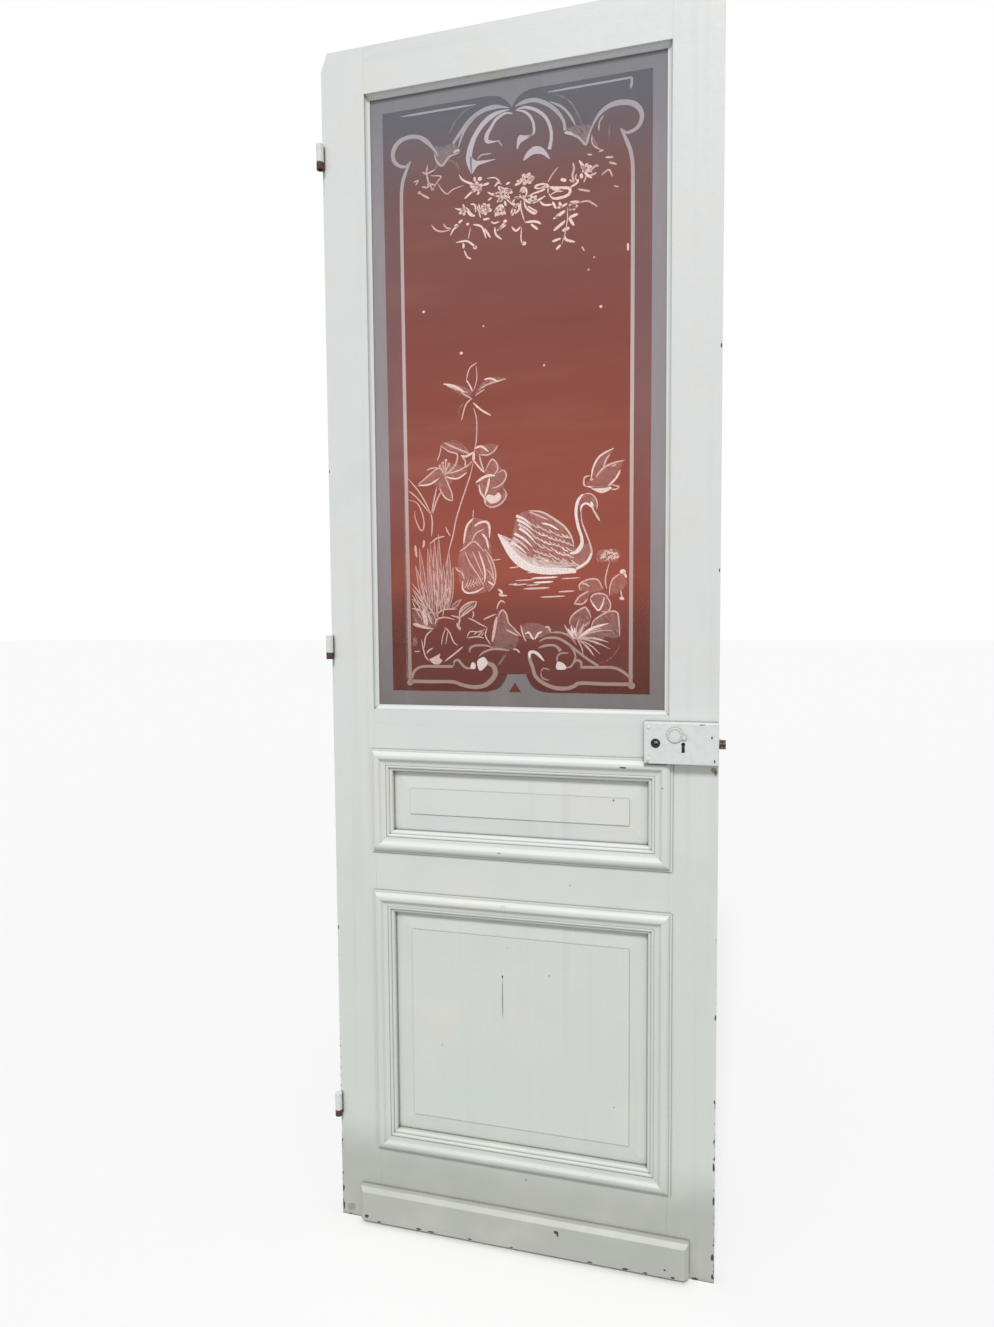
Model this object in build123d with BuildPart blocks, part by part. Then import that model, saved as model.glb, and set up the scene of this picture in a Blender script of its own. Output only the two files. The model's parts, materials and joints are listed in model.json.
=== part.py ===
"""Panelled and glazed interior door leaf, off its frame.

Millimetres. The origin is on the hinge axis, at the bearing face of the lowest
hinge. X runs from the hinges to the lock, Y into the door, Z up. The front
face, with its lock and hinge knuckles, looks towards -Y.
"""
from build123d import *
import os

# Leaf
door_width = 800.0
door_height = 2480.0
door_thickness = 40.0
stile_width = 93.0
top_rail_width = 92.0
lock_rail_width = 92.0
middle_rail_width = 98.0
bottom_rail_width = 174.0
small_panel_height = 207.0
large_panel_height = 563.0
worn_corner_width = 14.0
worn_corner_height = 34.0

# Mortise and tenon joints
tenon_length = 62.0
tenon_thickness = 13.0
tenon_shoulder = 14.0
joint_clearance = 0.15

# Raised and fielded panels
groove_depth = 10.0
tongue_thickness = 11.0
panel_margin = 37.0
panel_sight_thickness = 14.0
panel_shoulder_thickness = 19.0
panel_field_thickness = 23.0
panel_clearance = 0.3

# Bolection mouldings around the panels
moulding_width = 47.0
moulding_overlap = 7.5
moulding_edge_height = 3.0
moulding_fillet_width = 4.0
moulding_crest_place = 17.0
moulding_crest_height = 12.0
moulding_shoulder_reach = 4.0
moulding_shoulder_drop = 2.5
moulding_hollow_reach = 7.0
moulding_hollow_drop = 5.0
moulding_bead_width = 6.5
moulding_bead_drop = 4.5
moulding_quirk = 1.0
upper_bead_swell = 2.45
lower_bead_swell = 2.05

# Glazing
glass_thickness = 5.0
bead_width = 9.5
bead_depth = 12.0
bead_lip_width = 0.8
bead_fillet_width = 2.5
bead_fillet_depth = 2.5
bead_hollow_place = 0.3
bead_hollow_depth = 0.7
glass_clearance = 0.1
glass_edge_clearance = 0.3

# Plinth board on the front
plinth_height = 72.0
plinth_bottom = 9.0
plinth_thickness = 20.0
plinth_inset = 49.0
plinth_chamfer = 8.0

# Lift-off hinges, the upper halves
hinge_end_distance = 232.0
hinge_edge_gap = 1.5
hinge_setoff = 8.5
knuckle_radius = 7.5
knuckle_length = 50.0
pin_bore_radius = 4.75
pin_bore_depth = 42.0
pin_bore_point = 2.8
hinge_leaf_thickness = 2.5
hinge_leaf_width = 28.0
hinge_leaf_height = 98.0
hinge_clearance = 0.1

# Rim lock on the front face
lock_length = 140.0
lock_height = 80.0
lock_depth = 20.0
lock_wall = 1.8
lock_back_thickness = 1.5
lock_rise = 41.0
lock_corner_radius = 1.5
lock_clearance = 0.3

# Spindle follower of the lock
follower_inset = 22.0
follower_radius = 8.5
follower_proud = 1.0
follower_square = 7.0
follower_collar_radius = 12.0
follower_arm_length = 23.0
follower_arm_width = 6.0
follower_arm_thickness = 4.0
follower_turn = 35.0
spindle_hole_radius = 7.0

# Latch bolt of the lock
latch_height = 17.0
latch_thickness = 11.0
latch_reach = 12.5
latch_nose_land = 2.0
latch_body_length = 38.0
latch_set_in = 4.0
tail_thickness = 3.0
tail_height = 8.0
tail_gap = 1.0
tail_overreach = 3.4
lug_radius = 2.0
lug_height = 19.0

# Keyhole and its swinging cover
keyhole_setback = 66.0
keyhole_rise = -1.0
keyhole_head_radius = 3.8
keyhole_waist = 4.8
keyhole_foot = 6.6
keyhole_length = 16.0
wood_keyhole_width = 9.0
wood_keyhole_height = 28.0
wood_keyhole_rise = 3.0
cover_radius = 15.0
cover_thickness = 1.4
cover_reach = 17.8
cover_rest_angle = 165.0
cover_ear_radius = 5.5
cover_neck_radius = 3.0
cover_bevel = 0.4
pivot_rise = 12.0
pivot_setback = 64.5
pivot_radius = 2.0
pivot_head_radius = 3.6
pivot_head_thickness = 1.2
pivot_clearance = 0.25

# Places in the leaf, from the sizes above
hinge_heights = {
    "bottom": hinge_end_distance,
    "middle": door_height / 2,
    "top": door_height - hinge_end_distance,
}
edge_x = hinge_edge_gap
lock_edge_x = edge_x + door_width
centre_x = edge_x + door_width / 2
front_y = hinge_setoff
back_y = front_y + door_thickness
middle_y = front_y + door_thickness / 2
foot_z = -hinge_end_distance
head_z = foot_z + door_height
opening_left = edge_x + stile_width
opening_right = lock_edge_x - stile_width
opening_width = opening_right - opening_left

large_panel_low = foot_z + bottom_rail_width
large_panel_high = large_panel_low + large_panel_height
small_panel_low = large_panel_high + middle_rail_width
small_panel_high = small_panel_low + small_panel_height
glass_low = small_panel_high + lock_rail_width
glass_high = head_z - top_rail_width
panel_openings = {
    "upper": (small_panel_low, small_panel_high),
    "lower": (large_panel_low, large_panel_high),
}
rail_spans = {
    "top_rail": (glass_high, head_z),
    "lock_rail": (small_panel_high, glass_low),
    "middle_rail": (large_panel_high, small_panel_low),
    "bottom_rail": (foot_z, large_panel_low),
}

# Places in the lock, which sits on the lock rail
lock_z = small_panel_high + lock_rise
lock_front_y = front_y - lock_depth
lock_inner_y = lock_front_y + lock_wall
lock_back_y = front_y - lock_back_thickness
follower_x = lock_edge_x - lock_length + follower_inset
keyhole_x = lock_edge_x - keyhole_setback
keyhole_z = lock_z + keyhole_rise
wood_keyhole_z = keyhole_z + keyhole_head_radius + wood_keyhole_rise - wood_keyhole_height / 2
pivot_x = lock_edge_x - pivot_setback
pivot_z = lock_z + pivot_rise
arm_front_y = lock_inner_y + lock_clearance
tail_front_y = arm_front_y + follower_arm_thickness + tail_gap
latch_front_y = lock_inner_y + latch_set_in

os.makedirs("parts", exist_ok=True)


def save(part, name):
    """Label one finished sub-part and write its file."""
    part.label = name
    export_step(part, f"parts/{name}.step")


def box_between(low, high, mode=Mode.ADD):
    """A box from one corner to the other, in the part that is open."""
    size = [b - a for a, b in zip(low, high)]
    middle = [(a + b) / 2 for a, b in zip(low, high)]
    with Locations(tuple(middle)):
        Box(*size, mode=mode)


def tenon_span(span):
    """The height range of a rail's tenons, inside its shoulders."""
    return span[0] + tenon_shoulder, span[1] - tenon_shoulder


def cut_groove(low, high):
    """Cut a panel groove through the part that is open, between two corners in X and Z."""
    half = tongue_thickness / 2 + panel_clearance
    box_between(
        (low[0], middle_y - half, low[1]),
        (high[0], middle_y + half, high[1]),
        mode=Mode.SUBTRACT,
    )


def sketch_lock_holes():
    """The round hole for the spindle and the slot for the key, in the sketch that is open."""
    with Locations((follower_x, lock_z)):
        Circle(spindle_hole_radius)
    with Locations((keyhole_x, wood_keyhole_z)):
        SlotOverall(wood_keyhole_height, wood_keyhole_width, rotation=90)


# Rails, tenoned at both ends and grooved where they meet a panel
def make_rail(name, span):
    low, high = span
    tenon_low, tenon_high = tenon_span(span)
    with BuildPart() as rail:
        box_between((opening_left, front_y, low), (opening_right, back_y, high))
        box_between(
            (opening_left - tenon_length, middle_y - tenon_thickness / 2, tenon_low),
            (opening_right + tenon_length, middle_y + tenon_thickness / 2, tenon_high),
        )
        for panel_low, panel_high in panel_openings.values():
            if high == panel_low:
                cut_groove((opening_left, high - groove_depth), (opening_right, high))
            if low == panel_high:
                cut_groove((opening_left, low), (opening_right, low + groove_depth))
        if name == "lock_rail":
            with BuildSketch(Plane.XZ.offset(-front_y)):
                sketch_lock_holes()
            extrude(amount=-door_thickness, mode=Mode.SUBTRACT)
    save(rail.part, name)


for rail_name, rail_span in rail_spans.items():
    make_rail(rail_name, rail_span)


# Stiles, mortised for the rails and grooved for the panels
def cut_stile_joints(inner_x, inward):
    """Mortises and panel grooves in the inner edge, where inward is +1 or -1 into the stile."""
    half = tenon_thickness / 2 + joint_clearance
    mortise_end = inner_x + inward * (tenon_length + joint_clearance)
    for span in rail_spans.values():
        tenon_low, tenon_high = tenon_span(span)
        box_between(
            (min(inner_x, mortise_end), middle_y - half, tenon_low - joint_clearance),
            (max(inner_x, mortise_end), middle_y + half, tenon_high + joint_clearance),
            mode=Mode.SUBTRACT,
        )
    groove_end = inner_x + inward * groove_depth
    for low, high in panel_openings.values():
        cut_groove(
            (min(inner_x, groove_end), low - groove_depth),
            (max(inner_x, groove_end), high + groove_depth),
        )


with BuildPart() as hinge_stile:
    box_between((edge_x, front_y, foot_z), (opening_left, back_y, head_z))
    cut_stile_joints(opening_left, -1)
    for hinge_height in hinge_heights.values():
        bearing_z = foot_z + hinge_height
        leaf_high = bearing_z + knuckle_length + hinge_clearance
        leaf_low = leaf_high - hinge_leaf_height - 2 * hinge_clearance
        box_between(
            (edge_x, front_y, leaf_low),
            (
                edge_x + hinge_leaf_thickness + hinge_clearance,
                front_y + hinge_leaf_width + hinge_clearance,
                leaf_high,
            ),
            mode=Mode.SUBTRACT,
        )
    # The head corner is worn away
    with BuildSketch(Plane.XZ.offset(-front_y)):
        with BuildLine():
            Polyline(
                (edge_x, head_z),
                (edge_x + worn_corner_width, head_z),
                (edge_x, head_z - worn_corner_height),
                close=True,
            )
        make_face()
    extrude(amount=-door_thickness, mode=Mode.SUBTRACT)
save(hinge_stile.part, "hinge_stile")

with BuildPart() as lock_stile:
    box_between((opening_right, front_y, foot_z), (lock_edge_x, back_y, head_z))
    cut_stile_joints(opening_right, 1)
    with BuildSketch(Plane.XZ.offset(-front_y)):
        sketch_lock_holes()
    extrude(amount=-door_thickness, mode=Mode.SUBTRACT)
save(lock_stile.part, "lock_stile")


# Panels: a tongue in the grooves, a sloping margin, a step and a flat field on each face
def make_panel(name, low, high):
    reach = groove_depth - panel_clearance
    sight = moulding_width - moulding_overlap
    centre = (centre_x, middle_y, (low + high) / 2)
    width = opening_width
    height = high - low
    with BuildPart() as panel:
        with Locations(centre):
            Box(width + 2 * reach, tongue_thickness, height + 2 * reach)
            Box(width - 2 * sight - 2 * panel_margin, panel_field_thickness,
                height - 2 * sight - 2 * panel_margin)
        for side in (-1, 1):
            base = Plane(origin=(centre[0], middle_y, centre[2]), x_dir=(1, 0, 0), z_dir=(0, side, 0))
            margin_width = width - 2 * sight
            margin_height = height - 2 * sight
            with BuildSketch(base.offset(panel_sight_thickness / 2)):
                Rectangle(margin_width, margin_height)
            with BuildSketch(base.offset(panel_shoulder_thickness / 2)):
                Rectangle(margin_width - 2 * panel_margin, margin_height - 2 * panel_margin)
            loft()
            with BuildSketch(base):
                Rectangle(margin_width, margin_height)
            extrude(amount=panel_sight_thickness / 2)
    save(panel.part, name)


for panel_name, (panel_low, panel_high) in panel_openings.items():
    make_panel(f"{panel_name}_panel", panel_low, panel_high)


# Mitred frames of moulding: one piece to a side, cut at 45 degrees
def side_of_frame(side, left, right, low, high):
    """The middle of one outer side, the way in from it, and its length."""
    middle_x = (left + right) / 2
    middle_z = (low + high) / 2
    sides = {
        "left": ((left, middle_z), (1, 0), high - low),
        "right": ((right, middle_z), (-1, 0), high - low),
        "top": ((middle_x, high), (0, -1), right - left),
        "bottom": ((middle_x, low), (0, 1), right - left),
    }
    return sides[side]


def mitre_ends(middle, inward, run, length):
    """Cut the ends of the open part at 45 degrees, from its outer corners inwards."""
    for end in (-1, 1):
        corner = middle + run * (end * length / 2)
        split(bisect_by=Plane(origin=corner, z_dir=run * end + inward), keep=Keep.BOTTOM)


def make_bolection(name, side, opening, face_y, outward):
    """A raised moulding that laps the frame and runs down to the panel."""
    low, high = opening
    (x, z), (in_x, in_z), length = side_of_frame(
        side,
        opening_left - moulding_overlap,
        opening_right + moulding_overlap,
        low - moulding_overlap,
        high + moulding_overlap,
    )
    middle = Vector(x, face_y, z)
    inward = Vector(in_x, 0, in_z)
    run = inward.cross(Vector(0, outward, 0))
    panel_v = -(door_thickness - panel_sight_thickness) / 2 + panel_clearance
    lap_u = moulding_overlap + joint_clearance
    bead_u = moulding_width - 2 * moulding_bead_width
    cyma_v = moulding_bead_drop
    between_v = cyma_v - moulding_bead_drop
    foot_v = between_v - moulding_bead_drop
    with BuildPart() as moulding:
        with BuildSketch(Plane(origin=middle, x_dir=inward, z_dir=run)):
            with BuildLine():
                Polyline(
                    (0, 0),
                    (0, moulding_edge_height),
                    (moulding_fillet_width, moulding_edge_height),
                )
                ThreePointArc(
                    (moulding_fillet_width, moulding_edge_height),
                    (
                        moulding_fillet_width + moulding_shoulder_reach,
                        moulding_crest_height - moulding_shoulder_drop,
                    ),
                    (moulding_crest_place, moulding_crest_height),
                )
                Spline(
                    (moulding_crest_place, moulding_crest_height),
                    (
                        moulding_crest_place + moulding_hollow_reach,
                        moulding_crest_height - moulding_hollow_drop,
                    ),
                    (bead_u, cyma_v),
                    tangents=((1, 0), (1, -0.1)),
                )
                Line((bead_u, cyma_v), (bead_u, cyma_v - moulding_quirk))
                ThreePointArc(
                    (bead_u, cyma_v - moulding_quirk),
                    (
                        bead_u + moulding_bead_width / 2,
                        (cyma_v - moulding_quirk + between_v) / 2 + upper_bead_swell,
                    ),
                    (bead_u + moulding_bead_width, between_v),
                )
                ThreePointArc(
                    (bead_u + moulding_bead_width, between_v),
                    (
                        moulding_width - moulding_bead_width / 2,
                        (between_v + foot_v) / 2 + lower_bead_swell,
                    ),
                    (moulding_width, foot_v),
                )
                Polyline(
                    (moulding_width, foot_v),
                    (moulding_width, panel_v),
                    (lap_u, panel_v),
                    (lap_u, 0),
                    (0, 0),
                )
            make_face()
        extrude(amount=length / 2, both=True)
        mitre_ends(middle, inward, run, length)
        box_between(
            (
                lock_edge_x - lock_length - lock_clearance,
                lock_front_y,
                lock_z - lock_height / 2 - lock_clearance,
            ),
            (lock_edge_x, front_y, lock_z + lock_height / 2 + lock_clearance),
            mode=Mode.SUBTRACT,
        )
    save(moulding.part, name)


def make_glazing_bead(name, side, face_y, outward, set_in):
    """A cavetto bead in the glass opening, set in from the face and resting on the glass."""
    (x, z), (in_x, in_z), length = side_of_frame(
        side, opening_left, opening_right, glass_low, glass_high
    )
    middle = Vector(x, face_y - outward * set_in, z)
    inward = Vector(in_x, 0, in_z)
    run = inward.cross(Vector(0, outward, 0))
    fillet_u = bead_width - bead_fillet_width
    fillet_v = bead_fillet_depth - bead_depth
    with BuildPart() as bead:
        with BuildSketch(Plane(origin=middle, x_dir=inward, z_dir=run)):
            with BuildLine():
                Line((0, 0), (bead_lip_width, 0))
                ThreePointArc(
                    (bead_lip_width, 0),
                    (bead_hollow_place * fillet_u, bead_hollow_depth * fillet_v),
                    (fillet_u, fillet_v),
                )
                Polyline(
                    (fillet_u, fillet_v),
                    (bead_width, fillet_v),
                    (bead_width, -bead_depth),
                    (0, -bead_depth),
                    (0, 0),
                )
            make_face()
        extrude(amount=length / 2, both=True)
        mitre_ends(middle, inward, run, length)
    save(bead.part, name)


frame_sides = ("top", "bottom", "left", "right")
faces = {"front": (front_y, -1), "back": (back_y, 1)}
back_bead_set_in = door_thickness - 2 * bead_depth - glass_thickness - 2 * glass_clearance
for face_name, (face_y, outward) in faces.items():
    for side in frame_sides:
        for panel_name, opening in panel_openings.items():
            make_bolection(f"{panel_name}_moulding_{face_name}_{side}", side, opening, face_y, outward)
        set_in = 0 if face_name == "front" else back_bead_set_in
        make_glazing_bead(f"glazing_bead_{face_name}_{side}", side, face_y, outward, set_in)

# Glass pane between the beads
with BuildPart() as glass_pane:
    glass_front_y = front_y + bead_depth + glass_clearance
    box_between(
        (
            opening_left + glass_edge_clearance,
            glass_front_y,
            glass_low + glass_edge_clearance,
        ),
        (
            opening_right - glass_edge_clearance,
            glass_front_y + glass_thickness,
            glass_high - glass_edge_clearance,
        ),
    )
save(glass_pane.part, "glass_pane")

# Plinth board, its top and end edges bevelled
with BuildPart() as plinth_board:
    box_between(
        (edge_x + plinth_inset, front_y - plinth_thickness, foot_z + plinth_bottom),
        (lock_edge_x - plinth_inset, front_y, foot_z + plinth_bottom + plinth_height),
    )
    front_edges = plinth_board.faces().sort_by(Axis.Y)[0].edges()
    chamfer(front_edges.sort_by(Axis.Z)[1:], length=plinth_chamfer)
save(plinth_board.part, "plinth_board")

# Hinges: a leaf let into the stile's edge and a knuckle bored from below
for hinge_name, hinge_height in hinge_heights.items():
    bearing_z = foot_z + hinge_height
    knuckle_high = bearing_z + knuckle_length
    with BuildPart() as hinge:
        with BuildSketch(Plane.XY.offset(bearing_z)):
            Circle(knuckle_radius)
            with Locations((edge_x + hinge_leaf_thickness / 2, (front_y + knuckle_radius) / 2)):
                Rectangle(hinge_leaf_thickness, front_y + knuckle_radius)
        extrude(amount=knuckle_length)
        box_between(
            (edge_x, front_y, knuckle_high - hinge_leaf_height),
            (edge_x + hinge_leaf_thickness, front_y + hinge_leaf_width, knuckle_high),
        )
        with Locations((0, 0, bearing_z + pin_bore_depth / 2)):
            Cylinder(pin_bore_radius, pin_bore_depth, mode=Mode.SUBTRACT)
        with Locations((0, 0, bearing_z + pin_bore_depth + pin_bore_point / 2)):
            Cone(pin_bore_radius, 0, pin_bore_point, mode=Mode.SUBTRACT)
    save(hinge.part, f"hinge_{hinge_name}")


# Lock case: a pressed cover, open towards the door
front_plane = Plane(origin=(0, lock_front_y, 0), x_dir=(1, 0, 0), z_dir=(0, -1, 0))
with BuildPart() as lock_case:
    box_between(
        (lock_edge_x - lock_length, lock_front_y, lock_z - lock_height / 2),
        (lock_edge_x, front_y, lock_z + lock_height / 2),
    )
    fillet(lock_case.faces().sort_by(Axis.Y)[0].edges(), radius=lock_corner_radius)
    box_between(
        (lock_edge_x - lock_length + lock_wall, lock_inner_y, lock_z - lock_height / 2 + lock_wall),
        (lock_edge_x - lock_wall, front_y, lock_z + lock_height / 2 - lock_wall),
        mode=Mode.SUBTRACT,
    )
    with BuildSketch(front_plane):
        with Locations((follower_x, lock_z)):
            Circle(follower_radius + lock_clearance)
        with Locations((pivot_x, pivot_z)):
            Circle(pivot_radius)
    extrude(amount=-lock_wall, mode=Mode.SUBTRACT)
    with BuildSketch(Plane(origin=(keyhole_x, lock_front_y, keyhole_z), x_dir=(1, 0, 0), z_dir=(0, -1, 0))):
        Circle(keyhole_head_radius)
        with BuildLine():
            Polyline(
                (-keyhole_waist / 2, 0),
                (keyhole_waist / 2, 0),
                (keyhole_foot / 2, -keyhole_length),
                (-keyhole_foot / 2, -keyhole_length),
                close=True,
            )
        make_face()
    extrude(amount=-lock_wall, mode=Mode.SUBTRACT)
    box_between(
        (
            lock_edge_x - lock_wall,
            latch_front_y - lock_clearance,
            lock_z - latch_height / 2 - lock_clearance,
        ),
        (
            lock_edge_x,
            latch_front_y + latch_thickness + lock_clearance,
            lock_z + latch_height / 2 + lock_clearance,
        ),
        mode=Mode.SUBTRACT,
    )
save(lock_case.part, "lock_case")

# Back plate of the lock, inside the rim of the case
with BuildPart() as lock_back_plate:
    inset = lock_wall + joint_clearance
    box_between(
        (lock_edge_x - lock_length + inset, lock_back_y, lock_z - lock_height / 2 + inset),
        (lock_edge_x - inset, front_y, lock_z + lock_height / 2 - inset),
    )
    with BuildSketch(Plane(origin=(0, lock_back_y, 0), x_dir=(1, 0, 0), z_dir=(0, -1, 0))):
        sketch_lock_holes()
    extrude(amount=-lock_back_thickness, mode=Mode.SUBTRACT)
save(lock_back_plate.part, "lock_back_plate")

# Spindle follower: a hub with a square hole, a collar and an arm for the latch's tail
with BuildPart() as spindle_follower:
    hub_plane = Plane(
        origin=(follower_x, lock_front_y - follower_proud, lock_z), x_dir=(1, 0, 0), z_dir=(0, -1, 0)
    )
    hub_length = lock_back_y - lock_clearance - lock_front_y + follower_proud
    with BuildSketch(hub_plane):
        Circle(follower_radius)
    extrude(amount=-hub_length)
    arm_depth = arm_front_y - lock_front_y + follower_proud
    with BuildSketch(hub_plane.offset(-arm_depth).rotated((0, follower_turn / 2, 0))):
        Circle(follower_collar_radius)
        with Locations((0, follower_arm_length / 2)):
            Rectangle(follower_arm_width, follower_arm_length)
    extrude(amount=-follower_arm_thickness)
    with BuildSketch(hub_plane):
        Rectangle(follower_square, follower_square)
    extrude(amount=-hub_length, mode=Mode.SUBTRACT)
save(spindle_follower.part, "spindle_follower")

# Latch bolt: a bevelled nose, a body and a tail with a lug beside the follower's arm
with BuildPart() as latch_bolt:
    tail_low = lock_z + lug_height - tail_height / 2
    box_between(
        (lock_edge_x - latch_body_length, latch_front_y, lock_z - latch_height / 2),
        (lock_edge_x + latch_reach, latch_front_y + latch_thickness, lock_z + latch_height / 2),
    )
    nose_edge = latch_bolt.faces().sort_by(Axis.X)[-1].edges().sort_by(Axis.Y)[-1]
    chamfer(nose_edge, length=latch_thickness - latch_nose_land)
    box_between(
        (lock_edge_x - latch_body_length, tail_front_y, lock_z - latch_height / 2),
        (
            lock_edge_x - latch_body_length + tail_height,
            tail_front_y + tail_thickness,
            tail_low + tail_height,
        ),
    )
    box_between(
        (follower_x - tail_overreach, tail_front_y, tail_low),
        (lock_edge_x - latch_body_length, tail_front_y + tail_thickness, tail_low + tail_height),
    )
    lug_length = tail_front_y - arm_front_y
    with BuildSketch(
        Plane(origin=(follower_x, tail_front_y, lock_z + lug_height), x_dir=(1, 0, 0), z_dir=(0, -1, 0))
    ):
        Circle(lug_radius)
    extrude(amount=lug_length)
save(latch_bolt.part, "latch_bolt")

# Keyhole cover: a disc and an ear on a rivet, swung up beside the keyhole
cover_plane = Plane(
    origin=(pivot_x, lock_front_y - pivot_clearance, pivot_z), x_dir=(1, 0, 0), z_dir=(0, -1, 0)
).rotated((0, -cover_rest_angle, 0))
with BuildPart() as keyhole_cover:
    with BuildSketch(cover_plane) as cover_sketch:
        Circle(cover_ear_radius)
        with Locations((cover_reach, 0)):
            Circle(cover_radius)
        fillet(cover_sketch.vertices(), radius=cover_neck_radius)
        Circle(pivot_radius + pivot_clearance, mode=Mode.SUBTRACT)
    extrude(amount=cover_thickness)
    chamfer(keyhole_cover.faces().sort_by(Axis.Y)[0].outer_wire().edges(), length=cover_bevel)
save(keyhole_cover.part, "keyhole_cover")

with BuildPart() as cover_rivet:
    rivet_plane = Plane(origin=(pivot_x, lock_inner_y, pivot_z), x_dir=(1, 0, 0), z_dir=(0, -1, 0))
    shank_length = lock_wall + cover_thickness + 2 * pivot_clearance
    with BuildSketch(rivet_plane):
        Circle(pivot_radius)
    extrude(amount=shank_length)
    with BuildSketch(rivet_plane.offset(shank_length)):
        Circle(pivot_head_radius)
    extrude(amount=pivot_head_thickness)
    fillet(cover_rivet.edges().sort_by(Axis.Y)[0], radius=pivot_head_thickness / 2)
save(cover_rivet.part, "cover_rivet")
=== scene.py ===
"""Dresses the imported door: old oil paint, etched glass, rim lock, hinges, and a plain stage."""

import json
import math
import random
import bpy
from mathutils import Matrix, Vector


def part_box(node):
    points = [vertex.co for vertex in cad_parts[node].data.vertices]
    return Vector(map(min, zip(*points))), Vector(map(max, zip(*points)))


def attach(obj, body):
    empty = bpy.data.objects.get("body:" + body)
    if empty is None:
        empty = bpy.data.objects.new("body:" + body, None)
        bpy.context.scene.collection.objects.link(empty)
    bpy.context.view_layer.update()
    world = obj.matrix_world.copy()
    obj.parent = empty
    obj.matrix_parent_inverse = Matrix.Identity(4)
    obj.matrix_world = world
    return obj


bl_info = {
    "name": "Etched Glass Door",
    "version": (1, 0, 0),
    "blender": (4, 5, 0),
    "location": "3D View > Sidebar > Door",
    "description": "Old painted door leaf with an etched glass light, rim lock and lift-off hinges",
    "category": "Object",
}

import bmesh
import bpy
from mathutils import Vector

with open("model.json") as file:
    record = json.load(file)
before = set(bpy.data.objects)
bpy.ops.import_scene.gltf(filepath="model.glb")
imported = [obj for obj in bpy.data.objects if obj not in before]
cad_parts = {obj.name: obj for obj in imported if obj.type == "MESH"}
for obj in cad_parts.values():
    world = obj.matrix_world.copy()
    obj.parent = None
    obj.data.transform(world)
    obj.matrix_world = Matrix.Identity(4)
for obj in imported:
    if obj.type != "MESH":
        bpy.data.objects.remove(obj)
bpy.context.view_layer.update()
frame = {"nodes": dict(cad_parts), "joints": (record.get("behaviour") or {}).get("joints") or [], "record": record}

MM = 0.001
# the leaf in the row frame, in mm: its left edge, its foot and its width
LEAF_LEFT, LEAF_FOOT, LEAF_WIDTH = 1.5, -232.0, 800.0
HINGE_PITCH = 1.008  # in metres, from one hinge's bearing face to the next
GLASS_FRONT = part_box("glass_pane")[0].y / MM


def linear(hex_colour):
    """An sRGB hex colour as linear RGBA."""
    parts = [int(hex_colour[i:i + 2], 16) / 255 for i in (1, 3, 5)]
    return (*(c / 12.92 if c <= 0.04045 else ((c + 0.055) / 1.055) ** 2.4 for c in parts), 1.0)


def colour_setting(name, description, hex_colour):
    """A colour property whose default is an sRGB hex colour."""
    return bpy.props.FloatVectorProperty(
        name=name, description=description, subtype="COLOR", size=4, min=0, max=1,
        default=linear(hex_colour))


class DoorFinish(bpy.types.PropertyGroup):
    """Colours of the door that a user would change."""

    paint: colour_setting("Paint", "Oil paint of the wood and the lock", "#DEE0DF")
    # a darker, greyer paint: towards the foot of the leaf, and in the steel's mottling
    paint_darker: colour_setting("Worn paint", "Yellowed, rubbed paint low on the leaf", "#D1D6D0")
    # this colour is grime, and also the painted shade deep in the hollows and low on the foot
    dirt_with_shade: colour_setting("Dirt", "Grime on the foot and in hollows", "#8C8A7E")
    # this brown is grime in the quirks and also the painted shade in every crease
    old_grime_and_crease_shade: colour_setting("Old dirt", "Brown dirt packed into quirks and joints", "#5F574A")
    bare_wood: colour_setting("Bare wood", "Grey old wood where paint has chipped", "#5B5147")
    rust: colour_setting("Rust", "Rust on bare iron", "#6B4630")
    glass_foot: colour_setting("Glass, foot", "Tint of the pane at its foot", "#5D1A08")
    glass_low: colour_setting("Glass, low", "Tint of the pane behind the swan", "#973F2A")
    glass_middle: colour_setting("Glass, middle", "Tint of the pane at half height", "#82392B")
    glass_high: colour_setting("Glass, high", "Tint of the pane behind the garland", "#794740")
    # painted reflection: this grey at the head stands for a pale ceiling reflected in the pane
    glass_head: colour_setting("Glass, head", "Tint of the pane at its head", "#61606A")
    frost: colour_setting("Frost", "Deeply etched glass", "#FBF1EC")
    swan_frost: colour_setting("Swan", "Frost of the swan, the whitest of all", "#FFF0EA")
    plant_frost: colour_setting("Plants", "Frost of the flowers and leaves, rosier", "#FFE1DA")
    border_foot: colour_setting("Border, foot", "Evenly frosted border at its foot", "#7A7574")
    border: colour_setting("Border", "Evenly frosted border half way up", "#989296")
    border_head: colour_setting("Border, head", "Evenly frosted border at its head", "#85858B")


class DoorSizes(bpy.types.PropertyGroup):
    """Sizes of the etching, in metres."""

    frame_line: bpy.props.FloatProperty(
        name="Frame line", description="Width of the etched line round the picture",
        default=0.0072, min=0.002, max=0.02, unit="LENGTH", subtype="DISTANCE")
    film: bpy.props.FloatProperty(
        name="Film step", description="Depth between the layers of the etching",
        default=0.00004, min=0.00001, max=0.0001, unit="LENGTH", subtype="DISTANCE")


# Materials

def add_node(tree, kind, inputs=None, **settings):
    """Adds a node, sets its settings, sets or links its inputs, and returns its outputs."""
    node = tree.nodes.new(kind)
    for name, value in settings.items():
        setattr(node, name, value)
    for name, value in (inputs or {}).items():
        if isinstance(value, bpy.types.NodeSocket):
            tree.links.new(value, node.inputs[name])
        else:
            node.inputs[name].default_value = value
    return node.outputs


def new_material(name):
    """An empty node material; returns the material and its tree."""
    material = bpy.data.materials.new(name)
    material.use_nodes = True
    tree = material.node_tree
    tree.nodes.clear()
    return material, tree


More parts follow.
